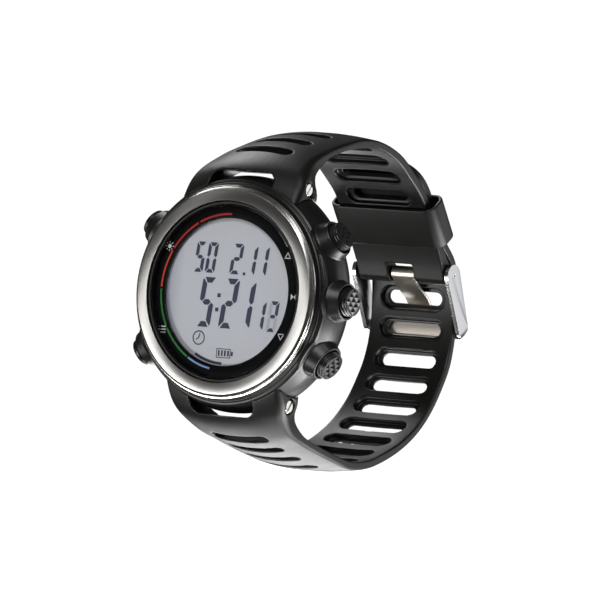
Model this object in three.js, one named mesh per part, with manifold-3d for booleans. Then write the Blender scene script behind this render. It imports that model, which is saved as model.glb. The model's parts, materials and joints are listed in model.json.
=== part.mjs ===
// Digital sports wristwatch with a round case, five pushers and a rubber strap buckled in a loop.
// Millimetres. +Z runs from the dial centre to 12 o'clock, +X to 3 o'clock, and the dial faces -Y.
// The origin is the centre of the case back's outer face. "Depth" is measured into the watch from
// the flat face of the bezel, so y = depth - CASE_THICKNESS.
import * as THREE from 'three';
import { mergeVertices } from 'three/addons/utils/BufferGeometryUtils.js';
import Module from 'manifold-3d';

const wasm = await Module();
wasm.setup();

// ---------------------------------------------------------------- driving dimensions
const CASE_THICKNESS = 14;
const GAP = 0.3; // running clearance, and the clearance round a cut-out
const FIT = 0.15; // clearance between stacked, static pieces
const ROUND = 40; // segments round the case

const BEZEL = { inner: 18.79, flat: 21.29, outer: 22, chamfer: 0.56, height: 1.9 };
const LENS = { radius: 17.95, front: 0.25, back: 1.15 };
const MASK = { inner: 15.2, outer: 18.4, front: 1.45, back: 2.05 };
const LCD = { radius: 17, flat: 16.2, front: 2.35, back: 4.3 };
const CAVITY = { radius: 18.6, top: 4.6, ledge: 12.75 };
const BACK = { radius: 21.2, inner: 12.9, chamfer: 0.4 };
const FRAME = { outer: 17.9, inner: 16.9, top: 4.75, floor: 5.5, floorBack: 6.2, back: 11.3 };
const BOARD = { radius: 16, front: 7.35, back: 8.2 };
const BATTERY = { radius: 10, front: 8.5, back: 11.7, x: -4 };

const PUSHER = {
  depth: 7.5, // distance of the pusher axis behind the bezel face
  face: 27.6, // distance of the pressed face from the dial axis
  cap: 3.0, // radius of the cap
  head: 24.4, // distance of the cap's underside
  recess: 23.1, // floor of the well that the cap sinks into
  well: 3.35, // radius of that well
  stem: 1.0,
  tip: 17.4, // inner end of the stem
  rim: 25.9, // top of the moulded collar
};
const PUSHER_ANGLES = {
  start_stop: 0,
  upper_right: 30,
  lower_right: -30,
  light: 150,
  mode: 210,
};

const LUG = { depth: 8.05, z: 22.3, tube: 1.1, bore: 0.75, half: 11.9, head: 1.45, face: 13.8 };
const WINDOW = { half: 7.8, top: 25.3, corner: 2.2 };

// The clasp is straight: "along" runs down the strap towards the buckle, "out" away from the wrist.
const ALONG = new THREE.Vector2(0.62, -0.7846);
const OUT = new THREE.Vector2(0.7846, 0.62);
const BAR = { depth: 69.9, z: 9.05, radius: 0.6, half: 12.1 };
const SLOT = { half: 6.7, height: 2.8, recessHalf: 7.9, recessHeight: 4.8, recessDepth: 1.0 };
const KEEPER = {
  from: 18.2,
  to: 27.8,
  inside: 58.2,
  outside: 64.85,
  half: 13.2,
  wall: 0.8,
  corner: 2.6,
};
const BUCKLE = {
  inner: 11.3,
  outer: 12.2,
  eye: 2.5,
  foot: 1.9,
  footDepth: 75.6,
  footZ: -1.85,
  corner: 2.4, // where the legs turn into the crossbar
};
const CROSSBAR = { near: 76.45, far: 77.2, top: -1.2, bottom: -4.1 };
const TONGUE = { half: 2.9, bore: 0.9, curl: 1.5, sheet: 0.7 };

const yAt = (depth) => depth - CASE_THICKNESS;
const clasp = (along, out) => [
  ALONG.x * along + OUT.x * out,
  ALONG.y * along + OUT.y * out,
];

// ---------------------------------------------------------------- solids
const Z_TO_MINUS_Y = new THREE.Matrix4().makeBasis(
  new THREE.Vector3(1, 0, 0), new THREE.Vector3(0, 0, 1), new THREE.Vector3(0, -1, 0));
const Z_TO_X = new THREE.Matrix4().makeBasis(
  new THREE.Vector3(0, 1, 0), new THREE.Vector3(0, 0, 1), new THREE.Vector3(1, 0, 0));

function signedVolume(position, index) {
  const a = new THREE.Vector3();
  const b = new THREE.Vector3();
  const c = new THREE.Vector3();
  let sum = 0;
  for (let i = 0; i < index.length; i += 3) {
    a.fromBufferAttribute(position, index[i]);
    b.fromBufferAttribute(position, index[i + 1]);
    c.fromBufferAttribute(position, index[i + 2]);
    sum += a.dot(b.cross(c)) / 6;
  }
  return sum;
}

// A closed geometry as a manifold solid with its faces pointing out.
function solid(geometry, matrix) {
  const bare = new THREE.BufferGeometry();
  bare.setAttribute('position', geometry.getAttribute('position').clone());
  bare.setIndex(geometry.index);
  if (matrix) bare.applyMatrix4(matrix);
  const merged = mergeVertices(bare, 1e-4);
  const position = merged.getAttribute('position');
  const index = [];
  for (let i = 0; i < merged.index.count; i += 3) {
    const [a, b, c] = [0, 1, 2].map((k) => merged.index.getX(i + k));
    if (a !== b && b !== c && c !== a) index.push(a, b, c);
  }
  if (signedVolume(position, index) < 0) index.reverse();
  return new wasm.Manifold(new wasm.Mesh({
    numProp: 3,
    vertProperties: new Float32Array(position.array),
    triVerts: new Uint32Array(index),
  }));
}

function toGeometry(manifold) {
  const mesh = manifold.getMesh();
  const geometry = new THREE.BufferGeometry();
  geometry.setAttribute('position', new THREE.BufferAttribute(mesh.vertProperties, 3));
  geometry.setIndex(new THREE.BufferAttribute(mesh.triVerts, 1));
  return geometry;
}

const cutAll = (body, tools) => tools.reduce((rest, tool) => rest.subtract(tool), body);
const joinAll = (bodies) => bodies.reduce((sum, body) => sum.add(body));

// Turned about the dial axis from a closed outline of [radius, depth] pairs.
function turned(outline, segments = ROUND) {
  const points = outline.map(([r, depth]) => new THREE.Vector2(r, yAt(depth)));
  if (outline[0][0] > 0) points.push(points[0].clone());
  return solid(new THREE.LatheGeometry(points, segments));
}

const ring = (inner, outer, front, back, segments) => turned(
  [[inner, front], [outer, front], [outer, back], [inner, back]], segments);
const disc = (radius, front, back, segments) => turned(
  [[0, front], [radius, front], [radius, back], [0, back]], segments);

function polygon(points) {
  const shape = new THREE.Shape();
  points.forEach(([x, y], i) => (i ? shape.lineTo(x, y) : shape.moveTo(x, y)));
  shape.closePath();
  return shape;
}

function rectangle(width, height, corner = 0, x = 0, y = 0) {
  const [w, h, r] = [width / 2, height / 2, corner];
  if (!r) return polygon([[x - w, y - h], [x + w, y - h], [x + w, y + h], [x - w, y + h]]);
  const shape = new THREE.Shape();
  shape.moveTo(x - w + r, y - h);
  shape.lineTo(x + w - r, y - h);
  shape.absarc(x + w - r, y - h + r, r, -Math.PI / 2, 0);
  shape.lineTo(x + w, y + h - r);
  shape.absarc(x + w - r, y + h - r, r, 0, Math.PI / 2);
  shape.lineTo(x - w + r, y + h);
  shape.absarc(x - w + r, y + h - r, r, Math.PI / 2, Math.PI);
  shape.lineTo(x - w, y - h + r);
  shape.absarc(x - w + r, y - h + r, r, Math.PI, 1.5 * Math.PI);
  return shape;
}

function extruded(shape, depth, matrix, curveSegments = 4) {
  const geometry = new THREE.ExtrudeGeometry(shape, { depth, bevelEnabled: false, curveSegments });
  return solid(geometry, matrix);
}

// A flat part parallel to the dial, from an outline in X and Z.
function plate(shape, front, back, curveSegments) {
  const matrix = new THREE.Matrix4().makeTranslation(0, yAt(back), 0).multiply(Z_TO_MINUS_Y);
  return extruded(shape, back - front, matrix, curveSegments);
}

// A part of one width across the strap, from a side outline of [depth, z].
function across(shape, fromX, toX, curveSegments) {
  const matrix = new THREE.Matrix4().makeTranslation(fromX, -CASE_THICKNESS, 0).multiply(Z_TO_X);
  return extruded(shape, toX - fromX, matrix, curveSegments);
}

function rodX(radius, fromX, toX, depth, z, segments = 16) {
  const rod = new THREE.CylinderGeometry(radius, radius, toX - fromX, segments);
  const matrix = new THREE.Matrix4().makeTranslation((fromX + toX) / 2, yAt(depth), z);
  return solid(rod, matrix.multiply(new THREE.Matrix4().makeRotationZ(-Math.PI / 2)));
}

// The same stretch of X on the right (hand 1) or left (hand -1) of the centre line.
const spanX = (hand, from, to) => (hand > 0 ? [from, to] : [-to, -from]);

function circle(radius, x = 0, y = 0) {
  const shape = new THREE.Shape();
  shape.absarc(x, y, radius, 0, 2 * Math.PI);
  return shape;
}

// A disc with a flat edge at the top and at the bottom.
function truncatedDisc(radius, flat) {
  const angle = Math.asin(flat / radius);
  const shape = new THREE.Shape();
  shape.absarc(0, 0, radius, -angle, angle);
  shape.absarc(0, 0, radius, Math.PI - angle, Math.PI + angle);
  shape.closePath();
  return shape;
}

// ---------------------------------------------------------------- scene graph
const watch = new THREE.Group();

const FINISH = {
  plastic: { color: 0x1b1b1d, roughness: 0.42, metalness: 0 },
  steel: { color: 0xc9c6bf, roughness: 0.32, metalness: 1 },
  polished: { color: 0xd8d8d6, roughness: 0.15, metalness: 1 },
  rubber: { color: 0x17171a, roughness: 0.62, metalness: 0 },
  seal: { color: 0x2a2a2a, roughness: 0.8, metalness: 0 },
  glass: { color: 0xf2f6f8, roughness: 0.05, metalness: 0, transparent: true, opacity: 0.25 },
  print: { color: 0x060607, roughness: 0.2, metalness: 0 },
  display: { color: 0xb4b6ba, roughness: 0.25, metalness: 0 },
  frame: { color: 0xd9d7cf, roughness: 0.6, metalness: 0 },
  board: { color: 0x14532d, roughness: 0.5, metalness: 0 },
  chip: { color: 0x101010, roughness: 0.4, metalness: 0 },
  copper: { color: 0xb87333, roughness: 0.35, metalness: 1 },
};

function add(name, body, finish, parent = watch) {
  const material = new THREE.MeshStandardMaterial({ ...FINISH[finish], flatShading: true });
  const mesh = new THREE.Mesh(toGeometry(body), material);
  mesh.name = name;
  parent.add(mesh);
}

// ---------------------------------------------------------------- pushers
// Pusher pieces are turned about their own axis, and measured along it from the dial's centre.
function onPusherAxis(degrees) {
  const angle = THREE.MathUtils.degToRad(degrees);
  const axis = new THREE.Vector3(Math.cos(angle), 0, Math.sin(angle));
  const turn = new THREE.Quaternion().setFromUnitVectors(new THREE.Vector3(0, 1, 0), axis);
  return { position: new THREE.Vector3(0, yAt(PUSHER.depth), 0), quaternion: turn };
}

function spun(outline, segments = 16) {
  const points = outline.map(([r, out]) => new THREE.Vector2(r, out));
  if (outline[0][0] > 0) points.push(points[0].clone());
  return new THREE.LatheGeometry(points, segments);
}

const COLLAR = spun([[0, 20.5], [5.0, 20.5], [4.9, 22.6], [3.8, PUSHER.rim],
  [0, PUSHER.rim]], 16);
const PUSHER_BORE = spun([[0, 15], [PUSHER.stem + FIT, 15], [PUSHER.stem + FIT, 20.6],
  [1.9, 20.6], [1.9, 21.4], [2.45, 21.4], [2.45, PUSHER.recess], [PUSHER.well, PUSHER.recess],
  [PUSHER.well, 28], [0, 28]], 12);
const FRAME_NOTCH = spun([[0, 15], [2.6, 15], [2.6, 20], [0, 20]], 12);

const PUSHER_BODY = spun([[0, PUSHER.tip], [0.7, PUSHER.tip], [PUSHER.stem, 17.7],
  [PUSHER.stem, PUSHER.head], [PUSHER.cap, PUSHER.head], [PUSHER.cap, 26.15], [2.7, 26.3],
  [PUSHER.cap, 26.45], [PUSHER.cap, 26.85], [2.7, 27.0], [2.85, 27.2], [2.65, PUSHER.face],
  [0, PUSHER.face]], 14);
const PUSHER_SEAL = spun([[1.1, 20.8], [1.8, 20.8], [1.8, 21.3], [1.1, 21.3]], 12);

class Helix extends THREE.Curve {
  getPoint(t, target = new THREE.Vector3()) {
    const { turns, radius, from, to } = Helix.spring;
    const angle = 2 * Math.PI * turns * t;
    return target.set(radius * Math.cos(angle), from + (to - from) * t, radius * Math.sin(angle));
  }
}
Helix.spring = { turns: 3, radius: 1.8, from: 21.9, to: 23.95 };
const SPRING_WIRE = 0.24;
const SPRING = new THREE.ExtrudeGeometry(circle(SPRING_WIRE), {
  steps: 20, curveSegments: 3, bevelEnabled: false, extrudePath: new Helix(),
});

// A snap ring on the stem, open on one side, that stops the spring from pushing the pusher out.
function retainingClip() {
  const outline = new THREE.Shape();
  const open = 0.5; // half the opening, in radians
  outline.absarc(0, 0, 1.9, open, 2 * Math.PI - open, false);
  outline.absarc(0, 0, PUSHER.stem + 0.12, 2 * Math.PI - open, open, true);
  outline.closePath();
  const geometry = new THREE.ExtrudeGeometry(outline, {
    depth: 0.3, curveSegments: 5, bevelEnabled: false,
  });
  return geometry.rotateX(-Math.PI / 2).translate(0, 18.0, 0);
}
const CLIP = retainingClip();

const pusherCutters = [];
const pusherCollars = [];
const frameNotches = [];
for (const [name, degrees] of Object.entries(PUSHER_ANGLES)) {
  const place = onPusherAxis(degrees);
  const matrix = new THREE.Matrix4().compose(
    place.position, place.quaternion, new THREE.Vector3(1, 1, 1));
  pusherCutters.push(solid(PUSHER_BORE, matrix));
  pusherCollars.push(solid(COLLAR, matrix));
  frameNotches.push(solid(FRAME_NOTCH, matrix));
  const group = new THREE.Group();
  group.position.copy(place.position);
  group.quaternion.copy(place.quaternion);
  add(`pusher_${name}`, solid(PUSHER_BODY), 'plastic', group);
  add(`pusher_spring_${name}`, solid(SPRING), 'polished', group);
  add(`pusher_seal_${name}`, solid(PUSHER_SEAL), 'seal', group);
  add(`pusher_clip_${name}`, solid(CLIP), 'polished', group);
  watch.add(group);
}

// ---------------------------------------------------------------- case
// The rim steps down from the bezel in two fine rings, and the flank swells and tucks under again.
const CASE_OUTSIDE = [[22.35, 2.2], [22.7, 2.5], [22.7, 2.8], [23.1, 3.0], [23.35, 3.3],
  [23.9, 4.6], [24.4, 6.2], [24.6, 8.2], [24.5, 9.8], [24.0, 11.2], [23.2, 12.5], [22.3, 13.5]];
const SCREW = { ring: 20.25, angles: [45, 135, 225, 315], shank: 0.5, head: 0.85, end: 10.6 };

function screwPlaces() {
  return SCREW.angles.map((degrees) => {
    const angle = THREE.MathUtils.degToRad(degrees);
    return [SCREW.ring * Math.cos(angle), SCREW.ring * Math.sin(angle)];
  });
}

function onAxis(body, x, z) {
  return body.translate([x, 0, z]);
}

function caseMiddle() {
  const groove = [[18.95, CAVITY.ledge], [18.95, 12.3], [19.65, 12.3], [19.65, CAVITY.ledge]];
  const shell = turned([
    [17.3, 2.2],
    ...CASE_OUTSIDE,
    [BACK.radius + FIT, 13.5], [BACK.radius + FIT, CAVITY.ledge],
    ...groove.reverse(),
    [CAVITY.radius, CAVITY.ledge], [CAVITY.radius, CAVITY.top], [17.3, CAVITY.top],
  ]);
  const hollow = disc(CAVITY.radius, 1, 16, ROUND);
  const collars = pusherCollars.map((collar) => collar.subtract(hollow));
  const tunnels = [1, -1].map((side) => rodX(LUG.tube + FIT, -14, 14, LUG.depth, side * LUG.z));
  const screwHoles = screwPlaces().map(([x, z]) => onAxis(
    disc(SCREW.shank + 0.1, SCREW.end - 0.3, 14, 10), x, z));
  const headRooms = [[1, 1], [1, -1], [-1, 1], [-1, -1]].map(([hand, side]) => rodX(
    LUG.head + GAP, ...spanX(hand, 12.3, 16), LUG.depth, side * LUG.z));
  return cutAll(joinAll([shell, ...collars]),
    [...pusherCutters, ...tunnels, ...screwHoles, ...headRooms]);
}
add('case_middle', caseMiddle(), 'plastic');

add('bezel_ring', turned([
  [BEZEL.inner, 0], [BEZEL.flat, 0], [BEZEL.outer, BEZEL.chamfer], [BEZEL.outer, 1.5],
  [21.6, BEZEL.height], [BEZEL.inner, BEZEL.height],
]), 'steel');

add('lens', turned([
  [0, LENS.front], [LENS.radius - 0.25, LENS.front], [LENS.radius, LENS.front + 0.25],
  [LENS.radius, LENS.back], [0, LENS.back],
]), 'glass');
add('lens_gasket', ring(18.1, 18.6, 0.45, 1.3, ROUND), 'seal');
add('dial_mask', ring(MASK.inner, MASK.outer, MASK.front, MASK.back, ROUND), 'print');

add('lcd_panel', plate(truncatedDisc(LCD.radius, LCD.flat), LCD.front, LCD.back, 10), 'display');

// ---------------------------------------------------------------- movement
const CONNECTOR = { half: 6, near: 13.6, far: 15.2, front: 4.45, back: 7.2 };

add('backlight_panel', plate(truncatedDisc(16.4, 13.1), 4.5, 5.3), 'frame');

function moduleFrame() {
  const wall = ring(FRAME.inner, FRAME.outer, FRAME.top, FRAME.back, 32);
  const floor = disc(FRAME.inner + 0.2, FRAME.floor, FRAME.floorBack, 32);
  const cutouts = [1, -1].map((side) => plate(rectangle(
    2 * CONNECTOR.half + 0.8, CONNECTOR.far - CONNECTOR.near + 0.8, 0,
    0, side * (CONNECTOR.near + CONNECTOR.far) / 2), 5, 7));
  return cutAll(wall.add(floor), [...cutouts, ...frameNotches]);
}
add('module_frame', moduleFrame(), 'frame');

for (const [name, side] of [['upper', 1], ['lower', -1]]) {
  const middle = side * (CONNECTOR.near + CONNECTOR.far) / 2;
  const outline = rectangle(
    2 * CONNECTOR.half, CONNECTOR.far - CONNECTOR.near, 0, 0, middle);
  add(`display_connector_${name}`, plate(outline, CONNECTOR.front, CONNECTOR.back), 'seal');
}

add('circuit_board', disc(BOARD.radius, BOARD.front, BOARD.back, 32), 'board');
add('processor_chip', plate(rectangle(7, 7, 0, 2, 0), FRAME.floorBack + FIT, 7.2), 'chip');

function batteryCell() {
  const can = turned([[0, BATTERY.front], [8.6, BATTERY.front], [8.6, 9.0], [9.6, 9.0],
    [BATTERY.radius, 9.4], [BATTERY.radius, BATTERY.back], [0, BATTERY.back]], 32);
  return onAxis(can, BATTERY.x, 0);
}
add('battery', batteryCell(), 'polished');
add('battery_clip', plate(rectangle(26, 6, 1, BATTERY.x + 1, 0), 11.85, 12.15), 'polished');
add('receiver_coil', plate(rectangle(3.4, 15, 0.6, 11, 0), 8.6, 11.2), 'copper');
add('buzzer_disc', disc(8, 12.3, 12.75, 24), 'copper');

// ---------------------------------------------------------------- case back
function caseBack() {
  const cover = turned([[0, BACK.inner], [BACK.radius, BACK.inner],
    [BACK.radius, CASE_THICKNESS - BACK.chamfer], [BACK.radius - BACK.chamfer, CASE_THICKNESS],
    [0, CASE_THICKNESS]]);
  const holes = screwPlaces().map(([x, z]) => onAxis(turned([[0, 12], [SCREW.shank + 0.1, 12],
    [SCREW.shank + 0.1, 13.35], [SCREW.head + 0.15, 13.35], [SCREW.head + 0.15, 15], [0, 15]],
  10), x, z));
  return cutAll(cover, holes);
}
add('case_back', caseBack(), 'steel');
add('back_gasket', ring(19.05, 19.55, 12.45, 12.8, ROUND), 'seal');

screwPlaces().forEach(([x, z], i) => {
  const blank = turned([[0, SCREW.end], [SCREW.shank, SCREW.end], [SCREW.shank, 13.4],
    [SCREW.head, 13.4], [SCREW.head, 13.9], [0, 13.9]], 10);
  const slot = plate(rectangle(2.4, 0.35), 13.65, 14.2);
  add(`back_screw_${i + 1}`, onAxis(blank.subtract(slot), x, z), 'polished');
});

// ---------------------------------------------------------------- strap
// Each station is [outer depth, outer z, inner depth, inner z, half width, crown, edge, flex]: the
// strap's two surfaces on its centre line, how wide it is there, how far the outer face drops
// towards its edges, the radius that rounds each edge off, and how far the inner face drops.
const UPPER_STATIONS = [
  [1.2, 18.2, 10.3, 16.6, 14.2, 1.2, 1.2, 0],
  [2.4, 23.2, 10.8, 21.2, 14.2, 2.6, 1.4, 0],
  [4.8, 26.9, 11.2, 24.0, 13.2, 2.9, 1.5, 0],
  [10.5, 30.5, 13.8, 26.3, 11.8, 2.5, 1.1, 0],
  [17.5, 33.0, 18.5, 30.5, 11.2, 2.1, 0.65, 1.05],
  [24.7, 34.9, 25.3, 32.6, 11.2, 1.7, 0.55, 0.8],
  [31.8, 35.9, 32.0, 33.7, 11.2, 1.1, 0.45, 0.8],
  [39.0, 35.6, 38.7, 33.4, 11.2, 0.8, 0.45, 0.3],
  [46.4, 33.6, 45.5, 31.6, 11.2, 0.6, 0.45, 0.4],
  [52.3, 30.1, 51.0, 28.3, 11.2, 0.4, 0.4, 0.3],
  [...clasp(15.7, 61.4), ...clasp(15.7, 59.25), 11.2, 0.2, 0.4, 0.1],
  [...clasp(21.7, 61.5), ...clasp(21.7, 59.3), 11.2, 0, 0.4, 0],
  [...clasp(27.7, 61.5), ...clasp(27.7, 59.3), 11.1, 0, 0.4, 0],
  [...clasp(32.3, 61.8), ...clasp(32.3, 59.0), 11.0, 0, 0.4, 0],
  [...clasp(36.1, 62.45), ...clasp(36.1, 58.35), 10.9, 0, 0.4, 0],
];
const UPPER_SLOTS = [3, 4, 5, 6, 7, 8, 9, 10];

const LOWER_STATIONS = [
  [1.2, -18.2, 10.3, -16.6, 14.2, 1.2, 1.2, 0],
  [2.4, -23.0, 10.7, -21.2, 14.2, 2.6, 1.4, 0],
  [5.0, -26.6, 11.3, -23.8, 13.3, 2.8, 1.4, 0],
  [11.1, -29.9, 14.3, -25.9, 12.0, 2.2, 0.9, 0],
  [17.5, -31.8, 18.5, -29.2, 11.4, 2.1, 0.65, 1.1],
  [24.1, -33.3, 24.8, -31.0, 11.3, 1.95, 0.55, 1.2],
  [31.1, -34.6, 31.5, -32.4, 11.2, 1.7, 0.5, 1.1],
  [38.0, -35.1, 38.0, -33.0, 11.1, 1.0, 0.45, 0.7],
  [44.8, -34.4, 44.4, -32.3, 11.1, 0.9, 0.45, 0.5],
  [51.3, -32.4, 50.5, -30.4, 11.0, 0.8, 0.4, 0.5],
  [57.7, -29.4, 56.8, -27.7, 11.0, 0.6, 0.4, 0.4],
  [63.6, -25.7, 62.4, -24.3, 10.9, 0.6, 0.4, 0.4],
  [68.5, -21.1, 67.1, -19.9, 10.8, 0.6, 0.4, 0.4],
  [72.3, -15.7, 70.6, -14.8, 10.7, 0.6, 0.4, 0.4],
  [75.1, -9.8, 73.2, -9.3, 10.6, 0.5, 0.4, 0.4],
  [76.1, -2.8, 74.1, -2.7, 10.5, 0.4, 0.4, 0.3],
  [75.6, 4.15, 73.6, 3.9, 10.5, 0.3, 0.4, 0.2],
  [...clasp(36.2, 64.9), ...clasp(36.2, 62.95), 10.5, 0.1, 0.4, 0.1],
  [...clasp(29.6, 63.9), ...clasp(29.6, 62.0), 10.5, 0, 0.4, 0],
  [...clasp(23.0, 63.7), ...clasp(23.0, 61.8), 10.5, 0, 0.4, 0],
  [...clasp(16.4, 63.7), ...clasp(16.4, 61.8), 10.5, 0, 0.4, 0],
  [...clasp(11.6, 63.1), ...clasp(11.6, 61.4), 10.0, 0.2, 0.4, 0.2],
  [...clasp(8.4, 62.4), ...clasp(8.4, 60.8), 7.6, 0.2, 0.4, 0.2],
  [...clasp(7.0, 62.0), ...clasp(7.0, 60.5), 3.6, 0.1, 0.4, 0.1],
];
const LOWER_SLOTS = [3, 4, 5, 6, 7, 8, 9, 10, 11, 12, 13, 14, 15, 16, 17, 18, 19];
const BUCKLED_SLOT = 16;
const CHAMFER = 0.3; // on the wrist-side edges

// The strap's section runs over the outer face, round one edge, back over the inner face and round
// the other edge.
function strapSection(station) {
  const [outerDepth, outerZ, innerDepth, innerZ, half, crown, edge, flex] = station;
  const outward = new THREE.Vector2(outerDepth - innerDepth, outerZ - innerZ);
  const thickness = outward.length();
  outward.divideScalar(thickness);
  const outer = (x, rounding = 0) => [x, crown * (x / half) ** 2 + rounding];
  const inner = (x, rounding = 0) => [x, thickness + flex * (x / half) ** 2 - rounding];
  const right = [outer(half / 2), outer(half - edge), outer(half - 0.3 * edge, 0.3 * edge),
    outer(half, edge), inner(half, CHAMFER), inner(half - CHAMFER)];
  const left = right.map(([x, down]) => [-x, down]).reverse();
  return [outer(0), ...right, inner(0), ...left].map(([x, down]) => new THREE.Vector3(
    x, yAt(outerDepth - outward.x * down), outerZ - outward.y * down));
}

// Catmull-Rom interpolation between stations.
function between(stations, t) {
  const i = Math.min(Math.floor(t), stations.length - 2);
  const f = t - i;
  const at = (k) => stations[Math.max(0, Math.min(stations.length - 1, k))];
  return stations[0].map((_, c) => {
    const [p0, p1, p2, p3] = [at(i - 1)[c], at(i)[c], at(i + 1)[c], at(i + 2)[c]];
    return p1 + 0.5 * f * (p2 - p0 + f * (2 * p0 - 5 * p1 + 4 * p2 - p3
      + f * (3 * (p1 - p2) + p3 - p0)));
  });
}

function strapBody(stations, stepsPerStation) {
  const steps = (stations.length - 1) * stepsPerStation;
  const sections = [];
  for (let k = 0; k <= steps; k += 1) {
    sections.push(strapSection(between(stations, k / stepsPerStation)));
  }
  const count = sections[0].length;
  const points = sections.flat();
  const index = [];
  for (let k = 0; k < steps; k += 1) {
    for (let j = 0; j < count; j += 1) {
      const a = k * count + j;
      const b = k * count + ((j + 1) % count);
      index.push(a, b, a + count, b, b + count, a + count);
    }
  }
  for (const [k, first, second] of [[0, 1, 0], [steps, 0, 1]]) {
    const middle = new THREE.Vector3();
    sections[k].forEach((point) => middle.addScaledVector(point, 1 / count));
    points.push(middle);
    for (let j = 0; j < count; j += 1) {
      const a = k * count + ((j + first) % count);
      const b = k * count + ((j + second) % count);
      index.push(points.length - 1, a, b);
    }
  }
  const geometry = new THREE.BufferGeometry().setFromPoints(points);
  geometry.setIndex(index);
  return solid(geometry);
}

function stadium(half, height) {
  const r = height / 2;
  const shape = new THREE.Shape();
  shape.absarc(half - r, 0, r, -Math.PI / 2, Math.PI / 2);
  shape.absarc(-half + r, 0, r, Math.PI / 2, 1.5 * Math.PI);
  return shape;
}

// One ventilation slot: a hole through the strap, and at the slot in use a wider shallow recess on
// the wrist side, where the tongue dives in.
function slotTools(station, recessed) {
  const [outerDepth, outerZ, innerDepth, innerZ] = station;
  const outward = new THREE.Vector3(0, outerDepth - innerDepth, outerZ - innerZ);
  const thickness = outward.length();
  outward.normalize();
  const crosswise = new THREE.Vector3(1, 0, 0);
  const lengthwise = new THREE.Vector3().crossVectors(outward, crosswise);
  const tool = (half, height, from, to) => {
    const matrix = new THREE.Matrix4().makeBasis(crosswise, lengthwise, outward);
    matrix.setPosition(new THREE.Vector3(0, yAt(innerDepth), innerZ)
      .addScaledVector(outward, from));
    return extruded(stadium(half, height), to - from, matrix, 3);
  };
  const hole = tool(SLOT.half, SLOT.height, -3, thickness + 2);
  if (!recessed) return [hole];
  return [hole, tool(SLOT.recessHalf, SLOT.recessHeight, -3, SLOT.recessDepth)];
}

// The space that the case needs between the strap's ears, and the window over it.
function earTools(side) {
  const flats = 28;
  const around = 1 / Math.cos(Math.PI / flats);
  const hug = CASE_OUTSIDE.filter((_, i) => i % 2 === 1).map(
    ([r, depth]) => [(r + GAP) * around, depth]);
  const clear = turned(
    [[0, -3], [hug[0][0], -3], ...hug, [hug.at(-1)[0], 20], [0, 20]], flats);
  const middle = side * (WINDOW.top - 10);
  const opening = plate(
    rectangle(2 * WINDOW.half, 20, WINDOW.corner, 0, middle), -4, 20);
  const tools = [clear, opening];
  for (const hand of [1, -1]) {
    tools.push(rodX(LUG.tube + FIT, ...spanX(hand, 8, 12.4), LUG.depth, side * LUG.z));
    tools.push(rodX(LUG.head + 0.2, ...spanX(hand, 12.4, 16), LUG.depth, side * LUG.z));
  }
  return tools;
}

function upperStrap() {
  const band = strapBody(UPPER_STATIONS, 2);
  const end = rodX(2.05, -10.9, 10.9, BAR.depth, BAR.z, 20);
  const notchHalf = TONGUE.half + 0.4;
  const notch = across(polygon([clasp(32.9, 57), clasp(40, 57), clasp(40, 64), clasp(32.9, 64)]),
    -notchHalf, notchHalf);
  const bore = rodX(BAR.radius + FIT, -12, 12, BAR.depth, BAR.z);
  const slots = UPPER_SLOTS.flatMap((i) => slotTools(UPPER_STATIONS[i], false));
  return cutAll(band.add(end), [notch, bore, ...slots, ...earTools(1)]);
}

function lowerStrap() {
  const slots = LOWER_SLOTS.flatMap((i) => slotTools(LOWER_STATIONS[i], i === BUCKLED_SLOT));
  return cutAll(strapBody(LOWER_STATIONS, 2), [...slots, ...earTools(-1)]);
}
add('strap_upper', upperStrap(), 'rubber');
add('strap_lower', lowerStrap(), 'rubber');

for (const [name, side] of [['upper', 1], ['lower', -1]]) {
  const z = side * LUG.z;
  const tube = rodX(LUG.tube, -LUG.half, LUG.half, LUG.depth, z);
  add(`lug_tube_${name}`, tube.subtract(rodX(LUG.bore, -20, 20, LUG.depth, z, 12)), 'polished');
  for (const [hand, sign] of [['left', -1], ['right', 1]]) {
    const head = rodX(LUG.head, ...spanX(sign, 12.6, LUG.face), LUG.depth, z);
    const shank = rodX(LUG.bore - FIT, ...spanX(sign, 8, 12.7), LUG.depth, z, 10);
    const slot = across(rectangle(0.5, 4, 0, LUG.depth, z), ...spanX(sign, 13.3, 15));
    add(`lug_screw_${name}_${hand}`, head.add(shank).subtract(slot), 'polished');
  }
}

// ---------------------------------------------------------------- buckle
// Two discs of different radius joined by their common tangents.
function link(a, radiusA, b, radiusB) {
  const from = new THREE.Vector2(...a);
  const to = new THREE.Vector2(...b);
  const heading = Math.atan2(to.y - from.y, to.x - from.x);
  const lean = Math.acos((radiusA - radiusB) / from.distanceTo(to));
  const shape = new THREE.Shape();
  shape.absarc(from.x, from.y, radiusA, heading + lean, heading - lean + 2 * Math.PI);
  shape.absarc(to.x, to.y, radiusB, heading - lean, heading + lean);
  return shape;
}

// The frame's rounded outline as seen square to its legs.
function buckleCorners() {
  const eye = new THREE.Vector3(0, yAt(BAR.depth), BAR.z);
  const down = new THREE.Vector3(0, yAt(BUCKLE.footDepth), BUCKLE.footZ).sub(eye).normalize();
  const far = new THREE.Vector3(0, yAt(CROSSBAR.far), CROSSBAR.bottom).sub(eye).dot(down);
  const crosswise = new THREE.Vector3(1, 0, 0);
  const square = new THREE.Vector3().crossVectors(crosswise, down);
  const matrix = new THREE.Matrix4().makeBasis(crosswise, down, square);
  const reach = 10;
  matrix.setPosition(eye.addScaledVector(square, -reach));
  const length = 30;
  const outline = rectangle(2 * BUCKLE.outer, length, BUCKLE.corner, 0, far - length / 2);
  return extruded(outline, 2 * reach, matrix, 5);
}

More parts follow.
